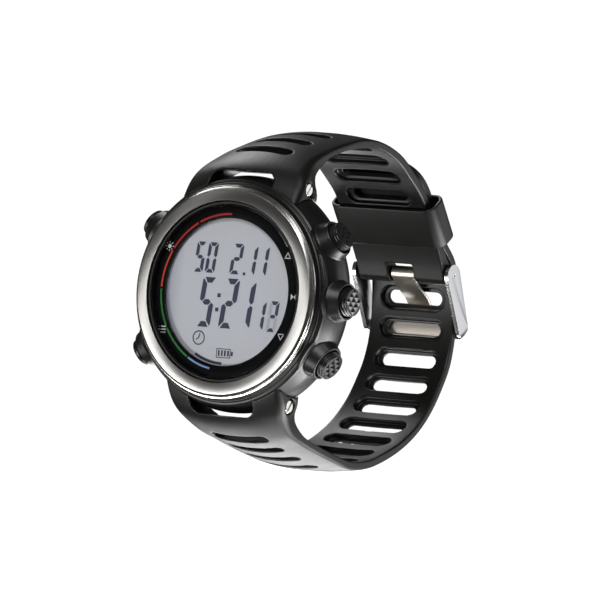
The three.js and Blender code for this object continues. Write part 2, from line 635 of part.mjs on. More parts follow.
function buckleFrame() {
  const outline = link(
    [BAR.depth, BAR.z], BUCKLE.eye, [BUCKLE.footDepth, BUCKLE.footZ], BUCKLE.foot);
  const sides = [across(outline, -BUCKLE.outer, -BUCKLE.inner, 10),
    across(outline, BUCKLE.inner, BUCKLE.outer, 10)];
  const height = CROSSBAR.top - CROSSBAR.bottom;
  const bar = across(rectangle(CROSSBAR.far - CROSSBAR.near, height, 0.3,
    (CROSSBAR.near + CROSSBAR.far) / 2, (CROSSBAR.top + CROSSBAR.bottom) / 2),
  -BUCKLE.outer, BUCKLE.outer);
  const pivot = rodX(BAR.radius + GAP, -14, 14, BAR.depth, BAR.z);
  return joinAll([...sides, bar]).subtract(pivot).intersect(buckleCorners());
}
add('buckle_frame', buckleFrame(), 'steel');
add('buckle_bar', rodX(BAR.radius, -BAR.half, BAR.half, BAR.depth, BAR.z), 'polished');

// The tongue curls round the bar, dives through the strap's slot and rests on the crossbar.
function buckleTongue() {
  const path = [[69.2, 7.75], [70.7, 6.9], [72.9, 5.45], [75.6, 3.85], [77.25, 1.9],
    [77.95, -0.2], [78.05, -2.2]].map(([depth, z]) => new THREE.Vector2(depth, z));
  const centre = new THREE.SplineCurve(path);
  const steps = 14;
  const edge = (side) => Array.from({ length: steps + 1 }, (_, k) => {
    const point = centre.getPoint(k / steps);
    const tangent = centre.getTangent(k / steps);
    const half = side * TONGUE.sheet / 2;
    return [point.x - tangent.y * half, point.y + tangent.x * half];
  });
  const arm = across(polygon([...edge(1), ...edge(-1).reverse()]), -TONGUE.half, TONGUE.half);
  const curl = rodX(TONGUE.curl, -TONGUE.half, TONGUE.half, BAR.depth, BAR.z, 20);
  return curl.add(arm).subtract(rodX(TONGUE.bore, -4, 4, BAR.depth, BAR.z));
}
add('buckle_tongue', buckleTongue(), 'steel');

function keeperLoop() {
  const outward = new THREE.Vector3(0, OUT.x, OUT.y);
  const crosswise = new THREE.Vector3(1, 0, 0);
  const matrix = new THREE.Matrix4().makeBasis(
    crosswise, outward, new THREE.Vector3().crossVectors(crosswise, outward));
  const [depth, z] = clasp(KEEPER.to, (KEEPER.inside + KEEPER.outside) / 2);
  matrix.setPosition(0, yAt(depth), z);
  const height = KEEPER.outside - KEEPER.inside;
  const inner = new THREE.Matrix4().makeTranslation(0, 0, -1);
  const length = KEEPER.to - KEEPER.from;
  const outside = extruded(rectangle(2 * KEEPER.half, height, KEEPER.corner), length, matrix);
  const hole = extruded(
    rectangle(2 * (KEEPER.half - KEEPER.wall), height - 2 * KEEPER.wall,
      KEEPER.corner - KEEPER.wall), length + 2, matrix.clone().multiply(inner));
  return outside.subtract(hole);
}
add('keeper', keeperLoop(), 'rubber');

export default watch;
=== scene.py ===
"""Looks of a round digital sports wristwatch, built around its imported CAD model.

Shapes are given in millimetres as (x, depth, z): x towards 3 o'clock, z towards 12 o'clock, and
depth measured into the watch from the flat face of the bezel. The frame's y is depth - THICKNESS.
"""
import json
import math

import bmesh
import bpy
import numpy as np
from mathutils import Matrix, Vector


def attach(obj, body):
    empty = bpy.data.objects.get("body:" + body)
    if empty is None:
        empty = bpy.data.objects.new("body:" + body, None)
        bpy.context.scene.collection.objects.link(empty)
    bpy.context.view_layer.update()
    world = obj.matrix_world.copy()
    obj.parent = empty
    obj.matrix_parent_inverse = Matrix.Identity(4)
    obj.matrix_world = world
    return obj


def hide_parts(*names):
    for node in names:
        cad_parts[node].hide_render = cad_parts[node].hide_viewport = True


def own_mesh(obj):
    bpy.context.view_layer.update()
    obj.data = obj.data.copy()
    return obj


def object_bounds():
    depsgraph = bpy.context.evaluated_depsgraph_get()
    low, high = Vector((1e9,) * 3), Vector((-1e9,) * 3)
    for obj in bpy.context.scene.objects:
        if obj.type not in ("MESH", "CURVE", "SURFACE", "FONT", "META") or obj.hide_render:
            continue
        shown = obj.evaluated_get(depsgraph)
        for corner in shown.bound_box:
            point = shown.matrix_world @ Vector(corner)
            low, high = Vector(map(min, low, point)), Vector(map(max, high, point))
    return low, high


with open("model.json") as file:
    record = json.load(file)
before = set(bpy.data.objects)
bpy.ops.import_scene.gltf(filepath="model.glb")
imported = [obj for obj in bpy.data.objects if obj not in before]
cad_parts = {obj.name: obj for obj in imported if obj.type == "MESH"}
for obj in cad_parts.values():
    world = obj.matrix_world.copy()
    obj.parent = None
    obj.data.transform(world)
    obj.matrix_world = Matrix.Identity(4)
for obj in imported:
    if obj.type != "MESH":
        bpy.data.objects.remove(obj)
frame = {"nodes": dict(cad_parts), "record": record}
cad_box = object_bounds()

# ------ driving dimensions
MM = 0.001
THICKNESS = 14.0
ROUND = 192  # steps round the case

BEZEL = {"inner": 18.79, "brushed": 21.14, "step": 21.65, "outer": 22.0, "skirt": 1.9}
LENS = {"radius": 17.95, "front": 0.25, "back": 1.15, "chamfer": 0.2}
MASK = {"inner": 15.2, "outer": 18.4, "front": 1.45, "back": 2.05}
LCD_FRONT = 2.35
GASKET = {"inner": 18.1, "outer": 18.6, "front": 0.45, "back": 1.3}
CAVITY = {"mouth": 17.3, "radius": 18.6, "top": 4.6, "ledge": 12.75, "seat": 13.5}
BACK = {"radius": 21.2, "inner": 12.9}
BACK_SCREW = {"ring": 20.25, "hole": 1.0, "angles": (45, 135, 225, 315)}
# The case from under the bezel to the case back, as (radius, depth) pairs.
CASE_OUTSIDE = [
    (22.2, 2.2), (22.45, 2.12), (22.72, 2.35), (22.72, 2.75), (23.05, 2.78), (23.4, 3.05),
    (23.45, 3.5), (23.9, 4.6), (24.4, 6.2), (24.6, 8.2), (24.5, 9.8), (24.0, 11.2),
    (23.2, 12.5), (22.3, 13.5),
]

PUSHER_ANGLES = {
    "start_stop": 0, "upper_right": 30, "lower_right": -30, "light": 150, "mode": 210,
}
PUSHER_DEPTH = 7.5
SPRING = {"from": 21.9, "to": 23.9, "radius": 1.8, "wire": 0.22, "turns": 3}
PUSHER = {"well": 3.35, "rim": 25.9, "cap": 3.0, "head": 24.4, "face": 27.4}
# Holes for the collar and for the stem as (radius, from, to, steps), from the dial axis outwards.
PUSHER_BORES = [(4.0, 23.1, 30, 40), (1.15, 16, 24, 24)]
COLLAR = {"rim": 3.8, "slope": 3.0, "reach": 5.5, "blend": 0.35}
KNURL = {"pitch": 1.4, "height": 0.55, "field": 2.3}

LUG = {"depth": 8.05, "z": 22.3, "head": 1.45, "face": 13.8, "recess": 1.68, "slot": 35}
UPPER_LUG = {"depth": LUG["depth"], "z": LUG["z"]}
LOWER_LUG = {"depth": LUG["depth"], "z": -LUG["z"]}
WINDOW = {"half": 7.8, "top": 25.3, "corner": 2.4}
ALONG = np.array((0.62, -0.7846))
OUT = np.array((0.7846, 0.62))
BAR = {"depth": 69.9, "z": 9.05, "radius": 0.6, "tip": 0.36, "half": 12.1}
SLOT = {"half": 6.7, "height": 2.8}
RECESS = {"half": 7.9, "height": 4.1, "depth": 1.0, "buckled": 4.8}
KEEPER = {"from": 18.2, "to": 27.8, "inside": 58.2, "outside": 64.85, "half": 13.2,
          "wall": 0.8, "corner": 2.6}
BUCKLE = {"inner": 11.3, "outer": 12.2, "eye": 2.5, "foot": 1.9, "depth": 75.6, "z": -1.85,
          "corner": 2.4}
CROSSBAR = {"near": 76.45, "far": 77.2, "bottom": -4.1, "top": -1.2}
TONGUE = {"half": 2.9, "roll": 1.2, "sheet": 0.6}


def clasp(along, out):
    """A point (depth, z) of the straight stretch that the buckle and the keeper sit on."""
    return tuple(ALONG * along + OUT * out)


def clasp_station(along, outer, inner, *shape):
    """A station of the straight stretch."""
    return (*clasp(along, outer), *clasp(along, inner), *shape)


# Each station is (outer depth, outer z, inner depth, inner z, half width, crown, edge, flex).
UPPER_STATIONS = [
    (1.2, 18.2, 10.3, 16.6, 14.2, 1.2, 1.2, 0),
    (2.4, 23.2, 10.8, 21.2, 14.2, 2.6, 1.4, 0),
    (4.8, 26.9, 11.2, 24.0, 13.2, 2.9, 1.5, 0),
    (10.5, 30.5, 13.8, 26.3, 11.8, 2.5, 1.1, 0),
    (17.5, 33.0, 18.5, 30.5, 11.2, 2.1, 0.65, 1.05),
    (24.7, 34.9, 25.3, 32.6, 11.2, 1.7, 0.55, 0.8),
    (31.8, 35.9, 32.0, 33.7, 11.2, 1.1, 0.45, 0.8),
    (39.0, 35.6, 38.7, 33.4, 11.2, 0.8, 0.45, 0.3),
    (46.4, 33.6, 45.5, 31.6, 11.2, 0.6, 0.45, 0.4),
    (52.3, 30.1, 51.0, 28.3, 11.2, 0.4, 0.4, 0.3),
    clasp_station(15.7, 61.4, 59.25, 11.2, 0.2, 0.4, 0.1),
    clasp_station(21.7, 61.5, 59.3, 11.2, 0, 0.4, 0),
    clasp_station(27.7, 61.5, 59.3, 11.1, 0, 0.4, 0),
    clasp_station(32.3, 61.8, 59.0, 11.0, 0, 0.4, 0),
    clasp_station(36.1, 62.45, 58.35, 10.9, 0, 0.4, 0),
]
UPPER_SLOTS = range(3, 11)

LOWER_STATIONS = [
    (1.2, -18.2, 10.3, -16.6, 14.2, 1.2, 1.2, 0),
    (2.4, -23.0, 10.7, -21.2, 14.2, 2.6, 1.4, 0),
    (5.0, -26.6, 11.3, -23.8, 13.3, 2.8, 1.4, 0),
    (11.1, -29.9, 14.3, -25.9, 12.0, 2.2, 0.9, 0),
    (17.5, -31.8, 18.5, -29.2, 11.4, 2.1, 0.65, 1.1),
    (24.1, -33.3, 24.8, -31.0, 11.3, 1.95, 0.55, 1.2),
    (31.1, -34.6, 31.5, -32.4, 11.2, 1.7, 0.5, 1.1),
    (38.0, -35.1, 38.0, -33.0, 11.1, 1.0, 0.45, 0.7),
    (44.8, -34.4, 44.4, -32.3, 11.1, 0.9, 0.45, 0.5),
    (51.3, -32.4, 50.5, -30.4, 11.0, 0.8, 0.4, 0.5),
    (57.7, -29.4, 56.8, -27.7, 11.0, 0.6, 0.4, 0.4),
    (63.6, -25.7, 62.4, -24.3, 10.9, 0.6, 0.4, 0.4),
    (68.5, -21.1, 67.1, -19.9, 10.8, 0.6, 0.4, 0.4),
    (72.3, -15.7, 70.6, -14.8, 10.7, 0.6, 0.4, 0.4),
    (75.1, -9.8, 73.2, -9.3, 10.6, 0.5, 0.4, 0.4),
    (76.1, -2.8, 74.1, -2.7, 10.5, 0.4, 0.4, 0.3),
    (75.6, 4.15, 73.6, 3.9, 10.5, 0.3, 0.4, 0.2),
    clasp_station(36.2, 64.9, 62.95, 10.5, 0.1, 0.4, 0.1),
    clasp_station(29.6, 63.9, 62.0, 10.5, 0, 0.4, 0),
    clasp_station(23.0, 63.7, 61.8, 10.5, 0, 0.4, 0),
    clasp_station(16.4, 63.7, 61.8, 10.5, 0, 0.4, 0),
    clasp_station(11.6, 63.1, 61.4, 10.0, 0.2, 0.4, 0.2),
    clasp_station(8.4, 62.4, 60.8, 7.6, 0.2, 0.4, 0.2),
    clasp_station(7.0, 62.0, 60.5, 3.6, 0.1, 0.4, 0.1),
]
LOWER_SLOTS = range(3, 20)
BUCKLED_SLOT = 16
STRAP_VOXEL = 0.22  # grain of the remesh that rounds every edge of the moulded rubber
TONGUE_PATH = [(70.7, 6.9), (72.9, 5.45), (75.6, 3.85), (77.2, 1.9), (77.9, -0.2), (78.0, -2.2)]


# ------ mesh helpers
X, Y, Z = np.eye(3)
DIAL_AXES = (Y, X, Z)  # an axis to turn about, and the two directions across it
STRAP_AXES = (X, Y, Z)
PUSHER_CENTRE = PUSHER_DEPTH * Y


def in_frame(points):
    """Dial millimetres as metres in the row frame."""
    moved = np.array(points, float).reshape(-1, 3)
    moved[:, 1] -= THICKNESS
    return moved * MM


def add_object(name, data):
    obj = bpy.data.objects.new(name, data)
    bpy.context.scene.collection.objects.link(obj)
    return obj


def mesh_object(name, points, faces):
    """A clean mesh from dial millimetres: doubles merged and faces pointing out."""
    mesh = bpy.data.meshes.new(name)
    mesh.from_pydata(in_frame(points).tolist(), [], faces)
    bm = bmesh.new()
    bm.from_mesh(mesh)
    bmesh.ops.remove_doubles(bm, verts=bm.verts, dist=1e-7)
    bmesh.ops.dissolve_degenerate(bm, edges=bm.edges, dist=1e-8)
    bmesh.ops.recalc_face_normals(bm, faces=bm.faces)
    bm.to_mesh(mesh)
    bm.free()
    return add_object(name, mesh)


def grid_faces(rows, cols, wrap_rows, wrap_cols):
    """Quads of a grid of points, row by row, joined round where it wraps."""
    faces = []
    for i in range(rows if wrap_rows else rows - 1):
        for j in range(cols if wrap_cols else cols - 1):
            below, right = (i + 1) % rows, (j + 1) % cols
            corners = ((i, j), (i, right), (below, right), (below, j))
            faces.append([a * cols + b for a, b in corners])
    return faces


def fillet(outline, radius, steps=3, closed=True):
    """An outline with its corners rounded by arcs of up to radius."""
    points = [np.array(p, float) for p in outline]
    count = len(points)
    out = []
    for i, here in enumerate(points):
        if not closed and i in (0, count - 1):
            out.append(tuple(here))
            continue
        back, on = points[i - 1] - here, points[(i + 1) % count] - here
        len_back, len_on = np.linalg.norm(back), np.linalg.norm(on)
        back, on = back / len_back, on / len_on
        turn = math.acos(max(-1.0, min(1.0, float(back @ on))))
        if math.pi - turn < math.radians(12):
            out.append(tuple(here))
            continue
        reach = min(radius / math.tan(turn / 2), 0.45 * len_back, 0.45 * len_on)
        start, end = here + back * reach, here + on * reach
        for k in range(steps + 1):
            t = k / steps
            out.append(tuple((1 - t) ** 2 * start + 2 * t * (1 - t) * here + t * t * end))
    return out


def between(stations, t):
    """Catmull-Rom interpolation between stations."""
    i = min(int(t), len(stations) - 2)
    f = t - i
    p0, p1, p2, p3 = (np.array(stations[max(0, min(len(stations) - 1, k))], float)
                      for k in (i - 1, i, i + 1, i + 2))
    return p1 + 0.5 * f * (p2 - p0 + f * (2 * p0 - 5 * p1 + 4 * p2 - p3
                                          + f * (3 * (p1 - p2) + p3 - p0)))


def smooth_line(stations, steps):
    """Points of the smooth curve through the stations, with steps to a span."""
    return [between(stations, k / steps) for k in range((len(stations) - 1) * steps + 1)]


def circle_angles(steps):
    return [2 * math.pi * k / steps for k in range(steps)]


def revolved_points(outline, centre, axes, steps):
    """Points turned about an axis from (radius, distance along the axis) pairs."""
    axis, side, up = axes
    return [centre + axis * h + r * (math.cos(a) * side + math.sin(a) * up)
            for r, h in outline for a in circle_angles(steps)]


def revolved(name, outline, centre, axes, steps=64):
    """A turned piece whose outline closes on itself, or starts and ends on the axis."""
    points = revolved_points(outline, centre, axes, steps)
    return mesh_object(
        name, points, grid_faces(len(outline), steps, outline[0][0] > 0, True))


def turned(name, outline, steps=ROUND):
    """A piece turned about the dial axis from (radius, depth) pairs."""
    return revolved(name, outline, 0 * Y, DIAL_AXES, steps)


def lofted(name, rows, closed=False):
    """A body through rows of points, each row a loop. It closes on itself or has flat ends."""
    cols = len(rows[0])
    faces = grid_faces(len(rows), cols, closed, True)
    if not closed:
        last = (len(rows) - 1) * cols
        faces += [list(range(cols)), list(range(last, last + cols))]
    return mesh_object(name, [p for row in rows for p in row], faces)


def swept_rows(line, section, place, closed=False):
    """A section of (off the line, along the width) pairs carried along a flat line.
    place(point, width) turns a point of the line's plane into dial millimetres."""
    rows = []
    last = len(line) - 1
    for k, here in enumerate(line):
        before = line[k - 1] if closed or k > 0 else here
        after = line[(k + 1) % len(line)] if closed or k < last else here
        heading = np.subtract(after, before)
        heading /= np.linalg.norm(heading)
        normal = np.array((heading[1], -heading[0]))
        rows.append([place(here + normal * off, width) for off, width in section])
    return rows


def pusher_axes(degrees):
    """The pusher's outward direction and the two directions across it."""
    a = math.radians(degrees)
    return (np.array((math.cos(a), 0, math.sin(a))), np.array((-math.sin(a), 0, math.cos(a))), Y)


def spun(name, outline, degrees, steps):
    """A piece turned about a pusher's axis from (radius, distance from the dial axis) pairs."""
    return revolved(name, outline, PUSHER_CENTRE, pusher_axes(degrees), steps)


def middle_of(place):
    """The point at a named depth and z, in the middle of the width."""
    return place["depth"] * Y + place["z"] * Z


def rod_x(name, radius, from_x, to_x, place, steps=48):
    """A cylinder across the strap. place has its depth and z."""
    outline = [(0, from_x), (radius, from_x), (radius, to_x), (0, to_x)]
    return revolved(name, outline, middle_of(place), STRAP_AXES, steps)


def prisms(name, outlines, lift):
    """Closed prisms in one mesh. lift(point, side) gives a corner's place on side 0 and on side 1."""
    points, faces = [], []
    for outline in outlines:
        first, count = len(points), len(outline)
        for side in (0, 1):
            points += [lift(p, side) for p in outline]
        for k in range(count):
            right = (k + 1) % count
            faces.append([first + k, first + right, first + count + right, first + count + k])
        faces.append([first + k for k in reversed(range(count))])
        faces.append([first + count + k for k in range(count)])
    return mesh_object(name, points, faces)


def printed(name, outlines, front, thickness):
    """Flat prints parallel to the dial, from outlines of (x, z) pairs."""
    return prisms(
        name, outlines, lambda p, side: (p[0], front + side * thickness, p[1]))


def across(name, outline, from_x, to_x):
    """A piece of one width across the strap, from a side outline of (depth, z) pairs."""
    return prisms(
        name, [outline], lambda p, side: (to_x if side else from_x, p[0], p[1]))


def arc_points(centre, radius, start, end, steps):
    """Points of an arc in a plane, with its angles in degrees."""
    angles = [math.radians(start + (end - start) * k / steps) for k in range(steps + 1)]
    return [(centre[0] + radius * math.cos(a), centre[1] + radius * math.sin(a))
            for a in angles]


def rectangle(left, right, low, high):
    return [(left, low), (right, low), (right, high), (left, high)]


def placed(shape, x, z, degrees=0.0, size=1.0):
    """A flat outline scaled, turned and moved."""
    c, s = math.cos(math.radians(degrees)), math.sin(math.radians(degrees))
    return [(x + size * (u * c - v * s), z + size * (u * s + v * c)) for u, v in shape]


def stadium(half, height, steps=14):
    """A slot's outline: a bar with round ends."""
    r = height / 2
    return arc_points((half - r, 0), r, -90, 90, steps) + \
        arc_points((r - half, 0), r, 90, 270, steps)


def rounded_box(half_w, half_h, radius, steps=8):
    """A rectangle's outline with round corners."""
    corners = ((1, 1, 0), (-1, 1, 90), (-1, -1, 180), (1, -1, 270))
    points = []
    for sx, sy, start in corners:
        centre = (sx * (half_w - radius), sy * (half_h - radius))
        points += arc_points(centre, radius, start, start + 90, steps)
    return points


def modify(obj, kind, **settings):
    """Adds a modifier."""
    modifier = obj.modifiers.new(kind.lower(), kind)
    for key, value in settings.items():
        setattr(modifier, key, value)


def apply_modifiers(obj):
    bpy.context.view_layer.update()
    graph = bpy.context.evaluated_depsgraph_get()
    mesh = bpy.data.meshes.new_from_object(obj.evaluated_get(graph))
    obj.modifiers.clear()
    old, obj.data = obj.data, mesh
    bpy.data.meshes.remove(old)


def combine(target, tools, operation="DIFFERENCE"):
    """Cuts or joins the tools, which are used up."""
    for tool in tools:
        modify(target, "BOOLEAN", operation=operation, solver="MANIFOLD", object=tool)
    apply_modifiers(target)
    for tool in tools:
        bpy.data.objects.remove(tool)


def bevel(obj, width, segments):
    modify(obj, "BEVEL", width=width * MM, segments=segments, limit_method="ANGLE",
           angle_limit=math.radians(30))
    apply_modifiers(obj)


def moulded(obj):
    """Remeshes a soft moulded piece finely, which rounds all its edges a little."""
    modify(obj, "REMESH", mode="VOXEL", voxel_size=STRAP_VOXEL * MM)
    modify(obj, "SMOOTH", factor=0.5, iterations=3)
    apply_modifiers(obj)


def dress(obj, body, material, replaces=(), sharp=35):
    """Gives a piece its shading, material and body, and hides the parts that it replaces."""
    obj.data.polygons.foreach_set("use_smooth", [True] * len(obj.data.polygons))
    if sharp:
        obj.data.set_sharp_from_angle(angle=math.radians(sharp))
    obj.data.materials.clear()
    obj.data.materials.append(material)
    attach(obj, body)
    if replaces:
        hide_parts(*replaces)


def paint(obj, more, choose):
    """More materials for some faces. choose(face) is 0 for the piece's first material."""
    for material in more:
        obj.data.materials.append(material)
    for face in obj.data.polygons:
        face.material_index = choose(face)


def off_axis(face):
    """A face's distance from the dial axis, in metres."""
    return math.hypot(face.center.x, face.center.z)


# ------ materials
class Finish:
    """A procedural material on one Principled shader, built up a layer at a time."""

    def __init__(self, name, color, roughness, metallic=0.0, **constants):
        self.material = bpy.data.materials.new(name)
        self.material.use_nodes = True
        self.nodes = self.material.node_tree.nodes
        self.links = self.material.node_tree.links
        self.shader = self.nodes["Principled BSDF"]
        constants |= {"Base Color": (*color, 1), "Roughness": roughness, "Metallic": metallic}
        for socket, value in constants.items():
            self.shader.inputs[socket.replace("_", " ")].default_value = value
        self.normal = None
        self.place = self.node("ShaderNodeTexCoord").outputs["Object"]

    def node(self, kind, settings=(), **inputs):
        made = self.nodes.new(kind)
        for key, value in dict(settings).items():
            setattr(made, key, value)
        for key, value in inputs.items():
            socket = made.inputs[int(key[1:])] if key[1:].isdigit() else \
                made.inputs[key.replace("_", " ")]
            if isinstance(value, bpy.types.NodeSocket):
                self.links.new(value, socket)
            else:
                socket.default_value = value
        return made

    def math(self, operation, a, b=0.0):
        return self.node("ShaderNodeMath", {"operation": operation}, _0=a, _1=b).outputs[0]

    def noise(self, scale, detail, vector=None):
        return self.node(
            "ShaderNodeTexNoise", Vector=vector or self.place, Scale=scale, Detail=detail,
            Roughness=0.55).outputs["Fac"]

    def stretched(self, scale):
        """Object coordinates scaled per axis, in cycles per metre."""
        return self.node(
            "ShaderNodeVectorMath", {"operation": "MULTIPLY"}, _0=self.place,
            _1=scale).outputs[0]

    def rings(self, per_metre, turns):
        """Coordinates that run fast outwards and slowly round the dial axis."""
        split = self.node("ShaderNodeSeparateXYZ", Vector=self.place).outputs
        square = self.math("ADD", self.math("MULTIPLY", split["X"], split["X"]),
                           self.math("MULTIPLY", split["Z"], split["Z"]))
        radius = self.math("MULTIPLY", self.math("SQRT", square), per_metre)
        angle = self.math("ARCTAN2", split["Z"], split["X"])
        across_x = self.math("MULTIPLY", self.math("COSINE", angle), turns)
        across_z = self.math("MULTIPLY", self.math("SINE", angle), turns)
        return self.node(
            "ShaderNodeCombineXYZ", X=radius, Y=across_x, Z=across_z).outputs[0]

    def mixed(self, fac, low, high):
        """A value or a colour that runs from low to high with fac."""
        if isinstance(low, tuple):
            mix = self.node("ShaderNodeMix", {"data_type": "RGBA"}, _0=fac)
            mix.inputs[6].default_value = (*low, 1)
            mix.inputs[7].default_value = (*high, 1)
            return mix.outputs[2]
        return self.node(
            "ShaderNodeMapRange", Value=fac, To_Min=low, To_Max=high).outputs[0]

    def vary_color(self, fac, low, high):
        self.links.new(self.mixed(fac, low, high), self.shader.inputs["Base Color"])
        return self

    def vary_roughness(self, fac, low, high):
        self.links.new(self.mixed(fac, low, high), self.shader.inputs["Roughness"])
        return self

    def bump(self, height, strength, distance):
        """Adds a layer of relief, distance in millimetres."""
        made = self.node("ShaderNodeBump", Height=height, Strength=strength,
                         Distance=distance * MM)
        if self.normal is not None:
            self.links.new(self.normal, made.inputs["Normal"])
        self.normal = made.outputs["Normal"]
        self.links.new(self.normal, self.shader.inputs["Normal"])
        return self


def mottled(name, low, high, roughness, metallic=0.0, tint=(240, 3.0), gloss=(700, 4.0)):
    """A finish whose colour and roughness wander a little, on noises of (scale, detail)."""
    made = Finish(name, low, roughness[0], metallic)
    made.vary_color(made.noise(*tint), low, high)
    return made.vary_roughness(made.noise(*gloss), *roughness).material


def shade(color, factor):
    return tuple(c * factor for c in color)


def rubber_finish():
    made = Finish("strap_rubber", (0.0056, 0.0052, 0.0048), 0.4, Specular_IOR_Level=0.33)
    grain = made.noise(5200, 2.0)
    soft = made.noise(160, 3.0)
    made.vary_color(soft, (0.0042, 0.0039, 0.0036), (0.0070, 0.0066, 0.0061))
    made.vary_roughness(made.noise(420, 4.0), 0.36, 0.46)
    return made.bump(grain, 0.30, 0.02).bump(soft, 0.12, 0.05).material


def plastic_finish(name, color, low, high):
    return mottled(name, color, shade(color, 1.35), (low, high))


def brushed_ring_finish():
    """Steel brushed in circles round the dial axis, for the bezel and the case back."""
    made = Finish("brushed_rings", (0.62, 0.60, 0.57), 0.3, 1.0, Anisotropic=0.75)
    fine = made.noise(1.0, 2.0, made.rings(9000, 6.0))
    broad = made.noise(1.0, 3.0, made.rings(2200, 2.5))
    made.vary_color(broad, (0.60, 0.585, 0.56), (0.74, 0.725, 0.70))
    made.vary_roughness(fine, 0.27, 0.37)
    made.bump(fine, 0.22, 0.006)
    tangent = made.node("ShaderNodeTangent", {"direction_type": "RADIAL", "axis": "Y"})
    made.links.new(tangent.outputs[0], made.shader.inputs["Tangent"])
    return made.material


def brushed_flat_finish(name, color, scale, roughness):
    """Steel brushed in one direction; scale is in cycles per metre along each axis."""
    made = Finish(name, color, 0.3, 1.0)
    lines = made.noise(1.0, 3.0, made.stretched(scale))
    made.vary_color(lines, shade(color, 0.82), color)
    made.vary_roughness(lines, roughness, roughness + 0.16)
    return made.bump(lines, 0.07, 0.008).material


def print_finish(name, color, roughness):
    return mottled(name, shade(color, 0.9), color, (roughness, roughness + 0.08),
                   tint=(1500, 2.0), gloss=(3000, 2.0))


def lcd_finish():
    """Grey liquid crystal glass with a painted shadow of the mask: a little bluer and darker towards
    9 o'clock.
    """
    made = Finish("lcd_glass", (0.44, 0.455, 0.475), 0.32)
    split = made.node("ShaderNodeSeparateXYZ", Vector=made.place).outputs
    # Painted shadow of the mask: darkest and bluest at the mask's edge at 9 o'clock, gone 11.5 mm
    # left of the middle.
    edge = made.node("ShaderNodeMapRange", Value=split["X"], From_Min=-15.2 * MM,
                     From_Max=-11.5 * MM).outputs[0]
    made.vary_color(edge, (0.42, 0.44, 0.50), (0.60, 0.61, 0.635))
    made.vary_roughness(made.noise(4000, 2.0), 0.28, 0.40)
    return made.bump(made.noise(9000, 1.0), 0.08, 0.004).material


def crystal_finish(name, tint, least, ior):
    """Clear glass: it mirrors by its Fresnel share, at least by least, and doesn't bend light."""
    made = Finish(name, tint, 0.0)
    made.nodes.remove(made.shader)
    clear = made.node("ShaderNodeBsdfTransparent", Color=(*tint, 1))
    mirror = made.node("ShaderNodeBsdfGlossy", Roughness=0.03, Color=(0.9, 0.93, 1.0, 1))
    fresnel = made.node("ShaderNodeFresnel", IOR=ior)
    share = made.math("MAXIMUM", fresnel.outputs[0], least)
    glass = made.node("ShaderNodeMixShader", _0=share, _1=clear.outputs[0], _2=mirror.outputs[0])
    made.links.new(glass.outputs[0], made.nodes["Material Output"].inputs["Surface"])
    return made.material


def board_finish():
    made = Finish("board_green", (0.01, 0.09, 0.03), 0.4)
    made.vary_color(made.noise(900, 2.0), (0.008, 0.07, 0.022), (0.02, 0.14, 0.05))
    return made.bump(made.noise(2500, 3.0), 0.2, 0.02).material


RUBBER = rubber_finish()
CASE_PLASTIC = plastic_finish("case_plastic", (0.0055, 0.0054, 0.0053), 0.30, 0.38)
PUSHER_PLASTIC = plastic_finish("pusher_plastic", (0.008, 0.008, 0.008), 0.24, 0.34)
SEAL = plastic_finish("seal_rubber", (0.003, 0.003, 0.003), 0.6, 0.75)
WHITE_PLASTIC = plastic_finish("white_plastic", (0.55, 0.54, 0.5), 0.45, 0.6)
CHIP = plastic_finish("chip_black", (0.01, 0.01, 0.01), 0.4, 0.55)
RINGS = brushed_ring_finish()
BUCKLE_STEEL = brushed_flat_finish("buckle_steel", (0.60, 0.61, 0.63), (3000, 9000, 700), 0.24)
# Tongue steel tinted warm beige: its steel tone warmed by a painted reflection of warm light. The
# crossbar's middle gets it too.
TONGUE_STEEL_PAINTED_WARM = brushed_flat_finish("tongue_steel_painted_warm", (0.74, 0.68, 0.60), (2600, 6000, 6000), 0.27)
POLISHED = mottled("polished_steel", (0.66, 0.65, 0.63), (0.76, 0.75, 0.73), (0.16, 0.26), 1.0,
                   tint=(260, 2.0), gloss=(900, 4.0))
DIAL_BLACK = print_finish("dial_black", (0.0022, 0.0022, 0.0025), 0.16)
LCD = lcd_finish()
CRYSTAL = crystal_finish("crystal", (0.985, 0.99, 1.0), 0.0, 1.33)
CRYSTAL_REAR = crystal_finish("crystal_rear", (1.0, 1.0, 1.0), 0.0, 1.0)
CRYSTAL_EDGE = crystal_finish("crystal_edge", (0.30, 0.31, 0.32), 0.08, 1.33)
BOARD = board_finish()
COPPER = mottled("copper", (0.5, 0.27, 0.13), (0.68, 0.42, 0.22), (0.22, 0.42), 1.0,
                 tint=(700, 3.0), gloss=(1800, 2.0))

SLOT_MATERIALS = {
    "case_plastic": CASE_PLASTIC, "pusher_plastic": PUSHER_PLASTIC, "brushed_bezel": RINGS,
    "brushed_steel": RINGS, "polished_steel": POLISHED, "crystal": CRYSTAL,
    "seal_rubber": SEAL, "dial_print": DIAL_BLACK, "lcd_glass": LCD,
    "white_plastic": WHITE_PLASTIC, "board_green": BOARD, "chip_black": CHIP,
    "copper": COPPER, "strap_rubber": RUBBER,
}


def dress_cad_nodes():
    slots = {row["node"]: row["material_slot"] for row in frame["record"]["subparts"]}
    for name, obj in frame["nodes"].items():
        obj.data.materials.clear()
        obj.data.materials.append(SLOT_MATERIALS[slots[name]])


# ------ case
def flank_radius(depth):
    """The case's outer radius at a depth, from its outline."""
    depths = [d for _, d in CASE_OUTSIDE[5:]]
    radii = [r for r, _ in CASE_OUTSIDE[5:]]
    return float(np.interp(depth, depths, radii))


